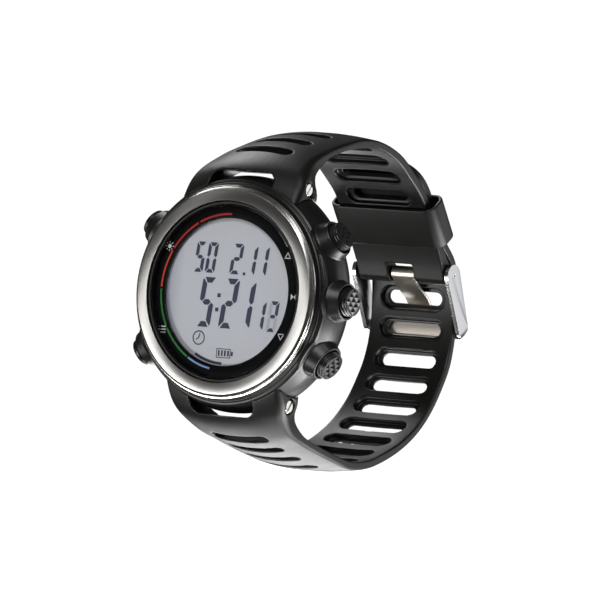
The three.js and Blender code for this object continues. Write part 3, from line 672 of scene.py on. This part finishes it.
def case_shell():
    mouth, radius, top, ledge, seat = CAVITY.values()
    rim = fillet([(mouth, CASE_OUTSIDE[0][1])] + CASE_OUTSIDE[:7], 0.14, 3, closed=False)[:-1]
    flank = smooth_line(CASE_OUTSIDE[6:], 5)
    cover = BACK["radius"] + 0.15
    inside = [(cover, seat), (cover, ledge), (radius, ledge), (radius, top), (mouth, top)]
    shell = turned("case_shell", rim + flank + inside)
    bores = []
    for degrees in PUSHER_ANGLES.values():
        for bore, start, end, steps in PUSHER_BORES:
            outline = [(0, start), (bore, start), (bore, end), (0, end)]
            bores.append(spun("bore", outline, degrees, steps))
    for ends in (UPPER_LUG, LOWER_LUG):
        for sign in (1, -1):
            bores.append(rod_x("bore", LUG["head"] + 0.3, sign * 12.3, sign * 16, ends))
    combine(shell, bores)
    dress(shell, "watch", CASE_PLASTIC, ["case_middle"], sharp=40)


def smooth_max(a, b, width):
    h = min(1.0, max(0.0, 0.5 + 0.5 * (a - b) / width))
    return b * (1 - h) + a * h + width * h * (1 - h)


def collar(name, degrees):
    """The moulded collar round a pusher: a ring whose foot runs out into the case's flank."""
    angles = circle_angles(96)
    well, rim, edge, foot = PUSHER["well"], PUSHER["rim"], COLLAR["rim"], COLLAR["reach"]

    def flank(rho, a):
        radius = flank_radius(PUSHER_DEPTH + rho * math.sin(a))
        return math.sqrt(radius ** 2 - (rho * math.cos(a)) ** 2)

    lip = [(well, 22.6), (well, rim - 0.1), (well + 0.04, rim - 0.03), (well + 0.12, rim),
           (edge - 0.16, rim), (edge - 0.05, rim - 0.04), (edge + 0.01, rim - 0.12)]
    rows = [[point] * len(angles) for point in lip]
    for rho in np.linspace(edge + 0.06, foot - 0.2, 26):
        cone = rim - 0.15 - (rho - edge) * COLLAR["slope"]
        rows.append([(rho, smooth_max(cone, flank(rho, a) + 0.012, COLLAR["blend"]))
                     for a in angles])
    rows.append([(foot, flank(foot, a) - 0.05) for a in angles])
    rows.append([(foot - 0.2, flank(foot - 0.2, a) - 0.7) for a in angles])
    rows.append([(4.2, 22.6)] * len(angles))
    out, side, inward = pusher_axes(degrees)
    ring = lofted(name, [[
        PUSHER_CENTRE + out * h + rho * (math.cos(a) * side + math.sin(a) * inward)
        for (rho, h), a in zip(row, angles)] for row in rows], closed=True)
    dress(ring, "watch", CASE_PLASTIC, sharp=50)


def bezel():
    inner, brushed, step, outer, skirt = BEZEL.values()
    body = turned("bezel", fillet([
        (inner, 0), (brushed, 0.2), (step, 0.68), (step + 0.05, 0.95), (outer, 1.0),
        (outer, 1.5), (step, skirt), (inner, skirt)], 0.08), 256)
    dress(body, "watch", RINGS, ["bezel_ring"], sharp=25)
    paint(body, [POLISHED], lambda face: int(off_axis(face) > (brushed + 0.1) * MM))


def crystal():
    radius, front, back, chamfer = LENS.values()
    lens = turned("lens_crystal", [
        (0, front), (radius - chamfer, front), (radius - 0.04, front + 0.75 * chamfer),
        (radius, front + chamfer), (radius, back), (0, back)])

    def choose(face):
        if abs(face.normal.y) < 0.2:
            return 2
        if face.normal.y > 0.9:
            return 3
        return int(off_axis(face) > (radius - chamfer) * MM)

    dress(lens, "watch", CRYSTAL, ["lens"], sharp=20)
    paint(lens, [CRYSTAL_EDGE, SEAL, CRYSTAL_REAR], choose)
    gasket = turned("lens_seal", fillet(rectangle(*GASKET.values()), 0.12))
    dress(gasket, "watch", SEAL, ["lens_gasket"])


def case_back():
    radius, inner = BACK.values()
    cover = turned("back_cover", fillet([
        (0, inner), (radius, inner), (radius, 13.65), (radius - 0.35, THICKNESS),
        (17.6, THICKNESS), (17.45, 13.88), (17.1, 13.88), (16.95, THICKNESS), (0, THICKNESS)],
        0.06, 2, closed=False))
    hole = arc_points((0, 0), BACK_SCREW["hole"], 0, 345, 23)
    places = [arc_points((0, 0), BACK_SCREW["ring"], angle, angle, 1)[0]
              for angle in BACK_SCREW["angles"]]
    combine(cover, [printed("hole", [placed(hole, *place)], 13.3, 1) for place in places])
    dress(cover, "watch", RINGS, ["case_back"], sharp=25)


# ------ dial
GAUGE = {"radius": 16.07, "half": 0.2}
# Arcs as (start, end, name), in degrees from 3 o'clock.
GAUGES = [(91.0, 119.2, "gauge_red"), (121.0, 149.2, "gauge_red"), (151.3, 179.5, "gauge_orange"),
          (180.9, 209.1, "gauge_green"), (211.1, 239.3, "gauge_green"),
          (240.6, 261.6, "gauge_blue")]
GAUGE_COLORS = {
    "gauge_red": (0.45, 0.018, 0.012), "gauge_orange": (0.60, 0.055, 0.012),
    "gauge_green": (0.015, 0.19, 0.03), "gauge_blue": (0.22, 0.36, 0.62),
}
PRINT = 0.03  # thickness of the dial prints
LABEL_RING, ARROW_RING = 17.25, 16.6


def sector(radius, half, start, end, steps=24):
    """A band of a ring between two angles."""
    return (arc_points((0, 0), radius + half, start, end, steps)
            + arc_points((0, 0), radius - half, end, start, steps))


def dial_mask():
    plate = turned("dial_ring", fillet(rectangle(*MASK.values()), 0.08))
    dress(plate, "watch", DIAL_BLACK, ["dial_mask"])


def print_on_mask(name, outlines, color):
    piece = printed(name, outlines, MASK["front"] - PRINT, PRINT + 0.02)
    dress(piece, "watch", color, sharp=20)


def gauges():
    for name, color in GAUGE_COLORS.items():
        print_on_mask(name, [sector(GAUGE["radius"], GAUGE["half"], start, end)
                             for start, end, gauge in GAUGES if gauge == name],
                      print_finish(name, color, 0.35))


def strokes(corners, half):
    """The sides of a polygon as thin bars."""
    bars = []
    for start, end in zip(corners, corners[1:] + corners[:1]):
        along = np.array(end) - np.array(start)
        along /= np.linalg.norm(along)
        side = half * np.array((-along[1], along[0]))
        a, b = np.array(start) - along * half, np.array(end) + along * half
        bars.append([tuple(p) for p in (a - side, b - side, b + side, a + side)])
    return bars


def signs():
    """Generic signs beside the pushers: a lamp, a list, two triangles and a facing pair."""
    ray = rectangle(0.85, 1.25, -0.11, 0.11)
    lamp = [arc_points((0, 0), 0.55, 0, 340, 17)] + [placed(ray, 0, 0, 45 * k) for k in range(8)]
    lines = [rectangle(left, right, level - 0.14, level + 0.14)
             for level in (-0.75, 0, 0.75) for left, right in ((-1.1, -0.8), (-0.5, 1.1))]
    up = strokes([(-0.8, -0.6), (0.8, -0.6), (0, 0.8)], 0.11)
    down = strokes([(-0.8, 0.6), (0, -0.8), (0.8, 0.6)], 0.11)
    facing = [[(-0.75, -0.75), (0.05, 0), (-0.75, 0.75)],
              [(0.75, -0.75), (0.75, 0.75), (0.05, 0)]]
    shapes = []
    for sign, degrees, ring, size in (
            (lamp, 150, LABEL_RING, 0.8), (lines, 210, LABEL_RING, 0.8),
            (up, 30, ARROW_RING, 0.85), (down, -30, ARROW_RING, 0.85),
            (facing, 0, ARROW_RING, 0.85)):
        centre = arc_points((0, 0), ring, degrees, degrees, 1)[0]
        shapes += [placed(shape, *centre, size=size) for shape in sign]
    print_on_mask("dial_signs", shapes, print_finish("dial_white", (0.72, 0.72, 0.70), 0.4))


# Seven-segment digits: which of the segments a to g each digit lights. The seconds digit is caught
# while it changes, so it lights what 2 and 3 share.
SEGMENTS = {"0": "abcdef", "1": "bc", "2": "abged", "5": "afgcd", "fading": "abgd"}
LEAN = 0.1


def segment_shapes(width, height, thick):
    """The seven segments of a digit centred on 0, 0: pointed uprights and mitred bars."""
    w, h, t, g = width / 2, height / 2, thick, 0.1
    top = [(-w + 0.4 * t, h), (w - 0.4 * t, h), (w - 1.05 * t, h - t), (-w + 1.05 * t, h - t)]
    middle = [(-w + 0.65 * t, 0), (-w + 1.1 * t, t * 0.5), (w - 1.1 * t, t * 0.5),
              (w - 0.65 * t, 0), (w - 1.1 * t, -t * 0.5), (-w + 1.1 * t, -t * 0.5)]
    right = [(w - 0.15 * t, h - 0.25 * t), (w, h - 0.5 * t), (w, 0.45 * t), (w - 0.5 * t, g),
             (w - t, 0.7 * t), (w - t, h - 1.25 * t)]
    return {"a": top, "d": [(x, -z) for x, z in reversed(top)], "g": middle,
            "b": right, "c": [(x, -z) for x, z in reversed(right)],
            "f": [(-x, z) for x, z in reversed(right)], "e": [(-x, -z) for x, z in right]}


def digit(text, x, z, width, height, thick, lit):
    """Outlines of a digit's lit or unlit segments, leaning to the right."""
    shapes = segment_shapes(width, height, thick)
    chosen = [s for s in "abcdefg" if (s in SEGMENTS[text]) == lit]
    return [[(x + u + LEAN * v, z + v) for u, v in shapes[s]] for s in chosen]


# Digits as (text, middle x, middle z, width, height, thickness).
DIGITS = [
    ("5", -7.75, 6.9, 2.35, 6.3, 0.78), ("0", -4.85, 6.9, 2.4, 6.3, 0.78),
    ("2", 1.35, 6.95, 2.6, 6.3, 0.78), ("1", 5.0, 6.85, 2.4, 6.2, 0.78),
    ("1", 7.8, 6.9, 2.4, 6.2, 0.78),
    ("5", -5.15, -2.3, 3.5, 10.3, 1.15), ("2", 0.45, -2.3, 3.5, 10.3, 1.15),
    ("1", 4.5, -2.3, 3.7, 9.9, 1.15),
    ("1", 8.25, -4.3, 2.4, 6.0, 0.75), ("fading", 11.4, -4.3, 2.35, 6.3, 0.75),
]


def square(x, z, half):
    return rectangle(x - half, x + half, z - half, z + half)


def ring_pieces(x, z, outer, inner, pieces=12):
    """A ring as a row of four-sided pieces."""
    shapes = []
    for k in range(pieces):
        start, end = 360 * k / pieces, 360 * (k + 1) / pieces
        shapes.append(arc_points((x, z), outer, start, end, 3)
                      + arc_points((x, z), inner, end, start, 3))
    return shapes


def lcd_signs():
    """Date point, colon, clock, battery and the progress arc at the bottom of the display."""
    shapes = [square(3.45, 4.0, 0.3), square(-2.2, -0.75, 0.4), square(-2.45, -3.7, 0.4)]
    clock = (-6.3, -9.75)
    shapes += ring_pieces(*clock, 1.5, 1.26)
    shapes += [placed(rectangle(0, length, -0.12, 0.12), *clock, degrees)
               for length, degrees in ((1.0, 75), (0.7, 215))]
    left, right, low, high, line = -1.6, 1.9, -13.55, -11.6, 0.16
    shapes += [
        rectangle(left, right, low, low + line), rectangle(left, right, high - line, high),
        rectangle(left, left + line, low, high), rectangle(right - line, right, low, high),
        rectangle(right + 0.12, right + 0.6, -13.0, -12.15)]
    for k in range(4):
        cell = left + 0.42 + 0.76 * k
        shapes.append(rectangle(cell, cell + 0.4, low + 0.38, high - 0.38))
    return shapes + [sector(14.72, 0.28, 242.5, 269.5)]


def display():
    lit = [shape for row in DIGITS for shape in digit(*row, lit=True)] + lcd_signs()
    unlit = digit(*DIGITS[-1], lit=False)
    for name, shapes, look, color, lift, thick in (
            ("lcd_segments", lit, "lcd_dark", (0.052, 0.056, 0.095), 0.05, 0.03),
            ("lcd_unlit", unlit, "lcd_faint", (0.49, 0.50, 0.52), 0.03, 0.025)):
        layer = printed(name, shapes, LCD_FRONT - lift, thick)
        dress(layer, "watch", print_finish(look, color, 0.3), sharp=20)


# ------ pushers
def pusher(name, degrees):
    """The plunger, with a field of pyramids turned by an eighth of a turn on its cap."""
    cap, head, face = PUSHER["cap"], PUSHER["head"], PUSHER["face"]
    outline = fillet([
        (0, 17.4), (0.7, 17.4), (1.0, 17.7), (1.0, head), (cap - 0.12, head),
        (cap, head + 0.12), (cap, 26.1), (2.74, 26.22), (2.74, 26.4), (cap, 26.52),
        (cap, 26.8), (2.74, 26.92), (2.74, 27.05), (2.86, 27.12), (2.84, 27.3),
        (2.7, face), (0, face - 0.08)], 0.05, 2, closed=False)
    steps = 72
    out, side, inward = pusher_axes(degrees)
    points = revolved_points(outline, PUSHER_CENTRE, (out, side, inward), steps)
    faces = grid_faces(len(outline), steps, False, True)
    pitch = KNURL["pitch"] / math.sqrt(2)
    places = [(i * pitch, j * pitch) for i in range(-4, 5) for j in range(-4, 5)
              if (i + j) % 2 == 0 and math.hypot(i, j) * pitch <= KNURL["field"]]
    half, foot = 0.97 * pitch, face - 0.12
    for u, v in places:
        corners = [(u + half, v, foot), (u, v + half, foot), (u - half, v, foot),
                   (u, v - half, foot), (u, v, foot + KNURL["height"])]
        first = len(points)
        points += [PUSHER_CENTRE + out * h + side * a + inward * b for a, b, h in corners]
        faces += [[first + k, first + (k + 1) % 4, first + 4] for k in range(4)]
        faces.append([first + k for k in (3, 2, 1, 0)])
    body = mesh_object(f"button_{name}", points, faces)
    dress(body, f"pusher_{name}", PUSHER_PLASTIC, [f"pusher_{name}"], 30)


def spring(name, degrees):
    """The coil round the pusher's stem."""
    out, side, inward = pusher_axes(degrees)
    start, end, radius, wire, turns = SPRING.values()
    steps = 120
    rows = []
    for i in range(steps + 1):
        a = 2 * math.pi * turns * i / steps
        away = math.cos(a) * side + math.sin(a) * inward
        middle = PUSHER_CENTRE + out * (start + (end - start) * i / steps) + radius * away
        rows.append([middle + wire * (math.cos(b) * away + math.sin(b) * out)
                     for b in circle_angles(12)])
    coil = lofted(f"spring_{name}", rows)
    dress(coil, "watch", POLISHED, [f"pusher_spring_{name}"], 60)
    foot = in_frame([PUSHER_CENTRE + out * (start - wire)])[0]
    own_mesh(coil)


# ------ strap
def strap_section(station):
    """The band's closed section: outer face, rounded edge, side, inner face and back."""
    outer_depth, outer_z, inner_depth, inner_z, half, crown, edge, flex = station
    outward = np.array((outer_depth - inner_depth, outer_z - inner_z))
    thickness = float(np.linalg.norm(outward))
    outward /= thickness
    corner = 0.3
    right = [((half - edge) * k / 8, 0.0) for k in range(9)]
    right += [(half - edge + edge * math.sin(a), edge * (1 - math.cos(a)))
              for a in (math.radians(15 * k) for k in range(1, 7))]
    right = [(x, down + crown * (x / half) ** 2) for x, down in right]
    inner = [(half - corner + corner * math.cos(a), -corner * (1 - math.sin(a)))
             for a in (math.radians(22.5 * k) for k in range(5))]
    inner += [((half - corner) * k / 8, 0.0) for k in range(7, -1, -1)]
    right += [(x, thickness + down + flex * (x / half) ** 2) for x, down in inner]
    left = [(-x, down) for x, down in right[-2:0:-1]]
    return [(x, outer_depth - outward[0] * down, outer_z - outward[1] * down)
            for x, down in right + left]


def strap_band(name, stations):
    return lofted(name, [strap_section(station) for station in smooth_line(stations, 9)])


def finish_band(band, tools, node):
    """Cuts the band, moulds it and gives it its looks."""
    combine(band, tools)
    moulded(band)
    dress(band, "watch", RUBBER, [node], sharp=None)


def slot_tools(station, recess_height):
    """A slot right through the band, and the wider shallow recess round it on the wrist side."""
    outer_depth, outer_z, inner_depth, inner_z = station[:4]
    start = inner_depth * Y + inner_z * Z
    outward = outer_depth * Y + outer_z * Z - start
    thickness = float(np.linalg.norm(outward))
    outward /= thickness
    lengthwise = np.cross(outward, X)

    def tool(outline, low, high, flare):
        def lift(point, side):
            grow = 1.0 if side else flare
            return (start + outward * (high if side else low)
                    + (X * point[0] + lengthwise * point[1]) * grow)
        return prisms("slot", [outline], lift)

    return [tool(stadium(SLOT["half"], SLOT["height"]), -3, thickness + 2, 1.0),
            tool(stadium(RECESS["half"], recess_height), -1.5, RECESS["depth"], 1.03)]


def ear_tools(side, lug):
    """The room that the case and the screws need between the ears, and the window over the case."""
    gap = 0.14
    hug = [(r + gap, d) for r, d in CASE_OUTSIDE[6:]]
    clear = turned("clear", [(0, -3), (23.0 + gap, -3), (23.0 + gap, 2.9)] + hug
                   + [(hug[-1][0], 20), (0, 20)])
    half_height = 10
    window = placed(rounded_box(WINDOW["half"], half_height, WINDOW["corner"]),
                    0, side * (WINDOW["top"] - half_height))
    return [clear, printed("window", [window], -4, 24)] + [
        rod_x("room", LUG["recess"], sign * 12.4, sign * 16, lug) for sign in (1, -1)]


def upper_strap():
    band = strap_band("strap_12_side", UPPER_STATIONS)
    combine(band, [rod_x("roller", 2.05, -10.85, 10.85, BAR)], "UNION")
    half = TONGUE["half"] + 0.4
    notch = across("notch", [clasp(32.9, 57), clasp(40, 57), clasp(40, 64), clasp(32.9, 64)],
                   -half, half)
    tools = [notch, rod_x("bore", BAR["radius"] + 0.15, -12, 12, BAR)]
    for i in UPPER_SLOTS:
        tools += slot_tools(UPPER_STATIONS[i], RECESS["height"])
    finish_band(band, tools + ear_tools(1, UPPER_LUG), "strap_upper")


def lower_strap():
    band = strap_band("strap_6_side", LOWER_STATIONS)
    tools = []
    for i in LOWER_SLOTS:
        height = RECESS["buckled"] if i == BUCKLED_SLOT else RECESS["height"]
        tools += slot_tools(LOWER_STATIONS[i], height)
    finish_band(band, tools + ear_tools(-1, LOWER_LUG), "strap_lower")


def keeper():
    """The free loop: a rounded strip swept round a rounded rectangle."""
    half_wall = KEEPER["wall"] / 2
    half_height = (KEEPER["outside"] - KEEPER["inside"]) / 2 - half_wall
    path = rounded_box(KEEPER["half"] - half_wall, half_height, KEEPER["corner"] - half_wall, 10)
    section = rounded_box(half_wall, (KEEPER["to"] - KEEPER["from"]) / 2, 0.3, 4)
    depth, z = clasp((KEEPER["from"] + KEEPER["to"]) / 2, (KEEPER["inside"] + KEEPER["outside"]) / 2)
    out, along = OUT[0] * Y + OUT[1] * Z, ALONG[0] * Y + ALONG[1] * Z
    loop = lofted("keeper_loop", swept_rows(
        path, section, lambda point, width: (
            depth * Y + z * Z + X * point[0] + out * point[1] + along * width),
        closed=True), closed=True)
    dress(loop, "keeper", RUBBER, ["keeper"], sharp=60)


def lug_screws():
    outline = fillet([(0, 8.0), (0.6, 8.0), (0.6, 12.6), (LUG["head"], 12.6),
                      (LUG["head"], 13.6), (1.2, LUG["face"]), (0, LUG["face"])],
                     0.1, 3, closed=False)
    for name, lug in (("upper", UPPER_LUG), ("lower", LOWER_LUG)):
        for hand, sign in (("left", -1), ("right", 1)):
            node = f"lug_screw_{name}_{hand}"
            screw = revolved(f"{node}_fine", outline, middle_of(lug), (sign * X, Y, Z))
            cut = placed(rectangle(-0.24, 0.24, -2.2, 2.2), *lug.values(), -LUG["slot"])
            combine(screw, [across("slot", cut, sign * 13.25, sign * 15)])
            dress(screw, "watch", POLISHED, [node], 30)


# ------ buckle
def link_outline(a, radius_a, b, radius_b, steps=24):
    """Two discs joined by their common tangents."""
    heading = math.degrees(math.atan2(b[1] - a[1], b[0] - a[0]))
    lean = math.degrees(math.acos((radius_a - radius_b) / math.dist(a, b)))
    return (arc_points(a, radius_a, heading + lean, heading - lean + 360, steps)
            + arc_points(b, radius_b, heading - lean, heading + lean, steps))


def buckle_corners():
    """A rounded block, square to the legs, that rounds the corners between legs and crossbar."""
    eye = middle_of(BAR)
    down = middle_of(BUCKLE) - eye
    down /= np.linalg.norm(down)
    square_to = np.cross(X, down)
    far = float((CROSSBAR["far"] * Y + CROSSBAR["bottom"] * Z - eye) @ down)
    half = 15
    outline = placed(rounded_box(BUCKLE["outer"], half, BUCKLE["corner"], 10), 0, far - half)
    return prisms("corners", [outline], lambda p, side: (
        eye + X * p[0] + down * p[1] + square_to * (10 if side else -10)))


def buckle():
    leg = link_outline((BAR["depth"], BAR["z"]), BUCKLE["eye"],
                       (BUCKLE["depth"], BUCKLE["z"]), BUCKLE["foot"])
    legs = [across("leg", leg, sign * BUCKLE["inner"], sign * BUCKLE["outer"])
            for sign in (-1, 1)]
    steel = across("buckle_steel", rectangle(*CROSSBAR.values()),
                   -BUCKLE["outer"], BUCKLE["outer"])
    combine(steel, legs, "UNION")
    combine(steel, [buckle_corners()], "INTERSECT")
    combine(steel, [rod_x("hole", BAR["tip"] + 0.08, -14, 14, BAR, 32)])
    bevel(steel, 0.18, 4)

    # The crossbar's middle gets the tongue steel, whose warm tint is a painted warm reflection. The
    # plates' sides are brushed and their edges polished.
    def choose(face):
        if abs(face.center.x) < (BUCKLE["inner"] - 0.3) * MM:
            return 2
        return int(abs(face.normal.x) < 0.9)

    dress(steel, "buckle_frame", BUCKLE_STEEL, ["buckle_frame"], 35)
    paint(steel, [POLISHED, TONGUE_STEEL_PAINTED_WARM], choose)


def buckle_bar():
    """The spring bar, with its thin tips in the frame's eyes."""
    tip, radius, half = BAR["tip"], BAR["radius"], BAR["half"]
    shoulder = half - 0.85
    end = fillet([(0, -half), (tip, -half), (tip, -shoulder), (radius, -shoulder), (radius, 0)],
                 0.05, 2, closed=False)
    pin = revolved("buckle_pin", end + [(r, -x) for r, x in reversed(end[:-1])],
                   middle_of(BAR), STRAP_AXES, 40)
    dress(pin, "watch", POLISHED, ["buckle_bar"], 35)


def tongue_line():
    """The sheet's middle line: nearly once round the bar, then out through the slot."""
    eye = (BAR["depth"], BAR["z"])
    start = math.degrees(math.atan2(TONGUE_PATH[0][1] - eye[1], TONGUE_PATH[0][0] - eye[0]))
    roll = arc_points(eye, TONGUE["roll"], start - 318, start - 42, 44)
    return [np.array(p) for p in roll] + smooth_line([roll[-1]] + TONGUE_PATH, 6)[1:]


def tongue():
    section = rounded_box(TONGUE["sheet"] / 2, TONGUE["half"], 0.12, 3)
    sheet = lofted("tongue_sheet", swept_rows(
        tongue_line(), section, lambda point, width: (width, *point)))
    dress(sheet, "buckle_tongue", TONGUE_STEEL_PAINTED_WARM, ["buckle_tongue"], 40)


# ------ studio
VIEW = {"azimuth": 33.157, "elevation": -1.436, "roll": 5.229}
CAMERA_PLACE = Vector((0.68631, -1.03510, -0.03112))
SOFT_BOX_DISTANCE = 1.2
# Soft boxes as (name, direction from the watch, size, radiance), in metres.
SOFT_BOXES = [
    ("front_right", (0.30, -0.80, 0.62), 0.72, 5.4),
    ("top_left", (-0.62, 0.35, 0.75), 0.5, 6.0),
    ("above_right", (0.45, -0.20, 0.87), 0.45, 3.0),
    ("left", (-0.95, -0.22, -0.40), 0.5, 1.0),
    ("front_low", (-0.53, -0.78, -0.50), 0.6, 9.2),
    ("below", (0.12, 0.10, -1.0), 0.6, 5.0),
    ("below_right", (0.62, 0.40, -0.65), 0.8, 15.0),
    ("behind_low", (-0.35, 0.70, -0.62), 0.75, 5.0),
    ("back_right", (0.62, 0.80, 0.10), 0.8, 1.2),
]


def camera():
    a, e, r = (math.radians(VIEW[k]) for k in ("azimuth", "elevation", "roll"))
    back = Vector((math.sin(a) * math.cos(e), -math.cos(a) * math.cos(e), math.sin(e)))
    level = Vector((math.cos(a), math.sin(a), 0))
    up = back.cross(level)
    right = math.cos(r) * level + math.sin(r) * up
    top = math.cos(r) * up - math.sin(r) * level
    data = bpy.data.cameras.new("camera")
    data.sensor_width = 36
    data.lens = 360
    data.clip_start, data.clip_end = 0.05, 20
    obj = add_object("camera", data)
    matrix = Matrix((right, top, back)).transposed().to_4x4()
    matrix.translation = CAMERA_PLACE
    obj.matrix_world = matrix
    bpy.context.scene.camera = obj


def soft_box(name, toward, size, radiance):
    """A square soft box that shines at the watch and that the camera doesn't see."""
    data = bpy.data.lights.new(name, "AREA")
    data.shape = "SQUARE"
    data.size = size
    data.energy = radiance * math.pi * size ** 2
    obj = add_object(name, data)
    obj.location = Vector(toward).normalized() * SOFT_BOX_DISTANCE
    obj.rotation_mode = "QUATERNION"
    obj.rotation_quaternion = (-obj.location).to_track_quat("-Z", "Y")
    obj.visible_camera = False


def studio():
    scene = bpy.context.scene
    scene.view_settings.view_transform = "Standard"
    world = bpy.data.worlds.new("studio")
    scene.world = world
    world.use_nodes = True
    nodes, links = world.node_tree.nodes, world.node_tree.links
    background = nodes["Background"]
    seen = nodes.new("ShaderNodeLightPath")
    mix = nodes.new("ShaderNodeMix")
    mix.data_type = "RGBA"
    mix.inputs[6].default_value = (0.03, 0.029, 0.027, 1)
    mix.inputs[7].default_value = (1.05, 1.05, 1.05, 1)
    links.new(seen.outputs["Is Camera Ray"], mix.inputs[0])
    links.new(mix.outputs[2], background.inputs["Color"])
    floor_z = cad_box[0].z - 0.0004
    bpy.ops.mesh.primitive_plane_add(size=6, location=(0, 0, floor_z))
    floor = bpy.context.object
    floor.name = "floor"
    pale = Finish("floor_white", (0.93, 0.93, 0.93), 0.6, Emission_Color=(1, 1, 1, 1),
                  Emission_Strength=1.1)
    pale.vary_color(pale.noise(6, 2.0), (0.92, 0.92, 0.92), (0.94, 0.94, 0.94))
    floor.data.materials.append(pale.material)
    for ray in ("glossy", "diffuse", "shadow", "transmission"):
        setattr(floor, f"visible_{ray}", False)
    for row in SOFT_BOXES:
        soft_box(*row)


# ------ the scene
camera()
studio()
dress_cad_nodes()
case_shell()
for pusher_name, pusher_degrees in PUSHER_ANGLES.items():
    collar(f"collar_{pusher_name}", pusher_degrees)
    pusher(pusher_name, pusher_degrees)
    spring(pusher_name, pusher_degrees)
bezel()
crystal()
case_back()
dial_mask()
gauges()
signs()
display()
upper_strap()
lower_strap()
keeper()
lug_screws()
buckle()
buckle_bar()
tongue()
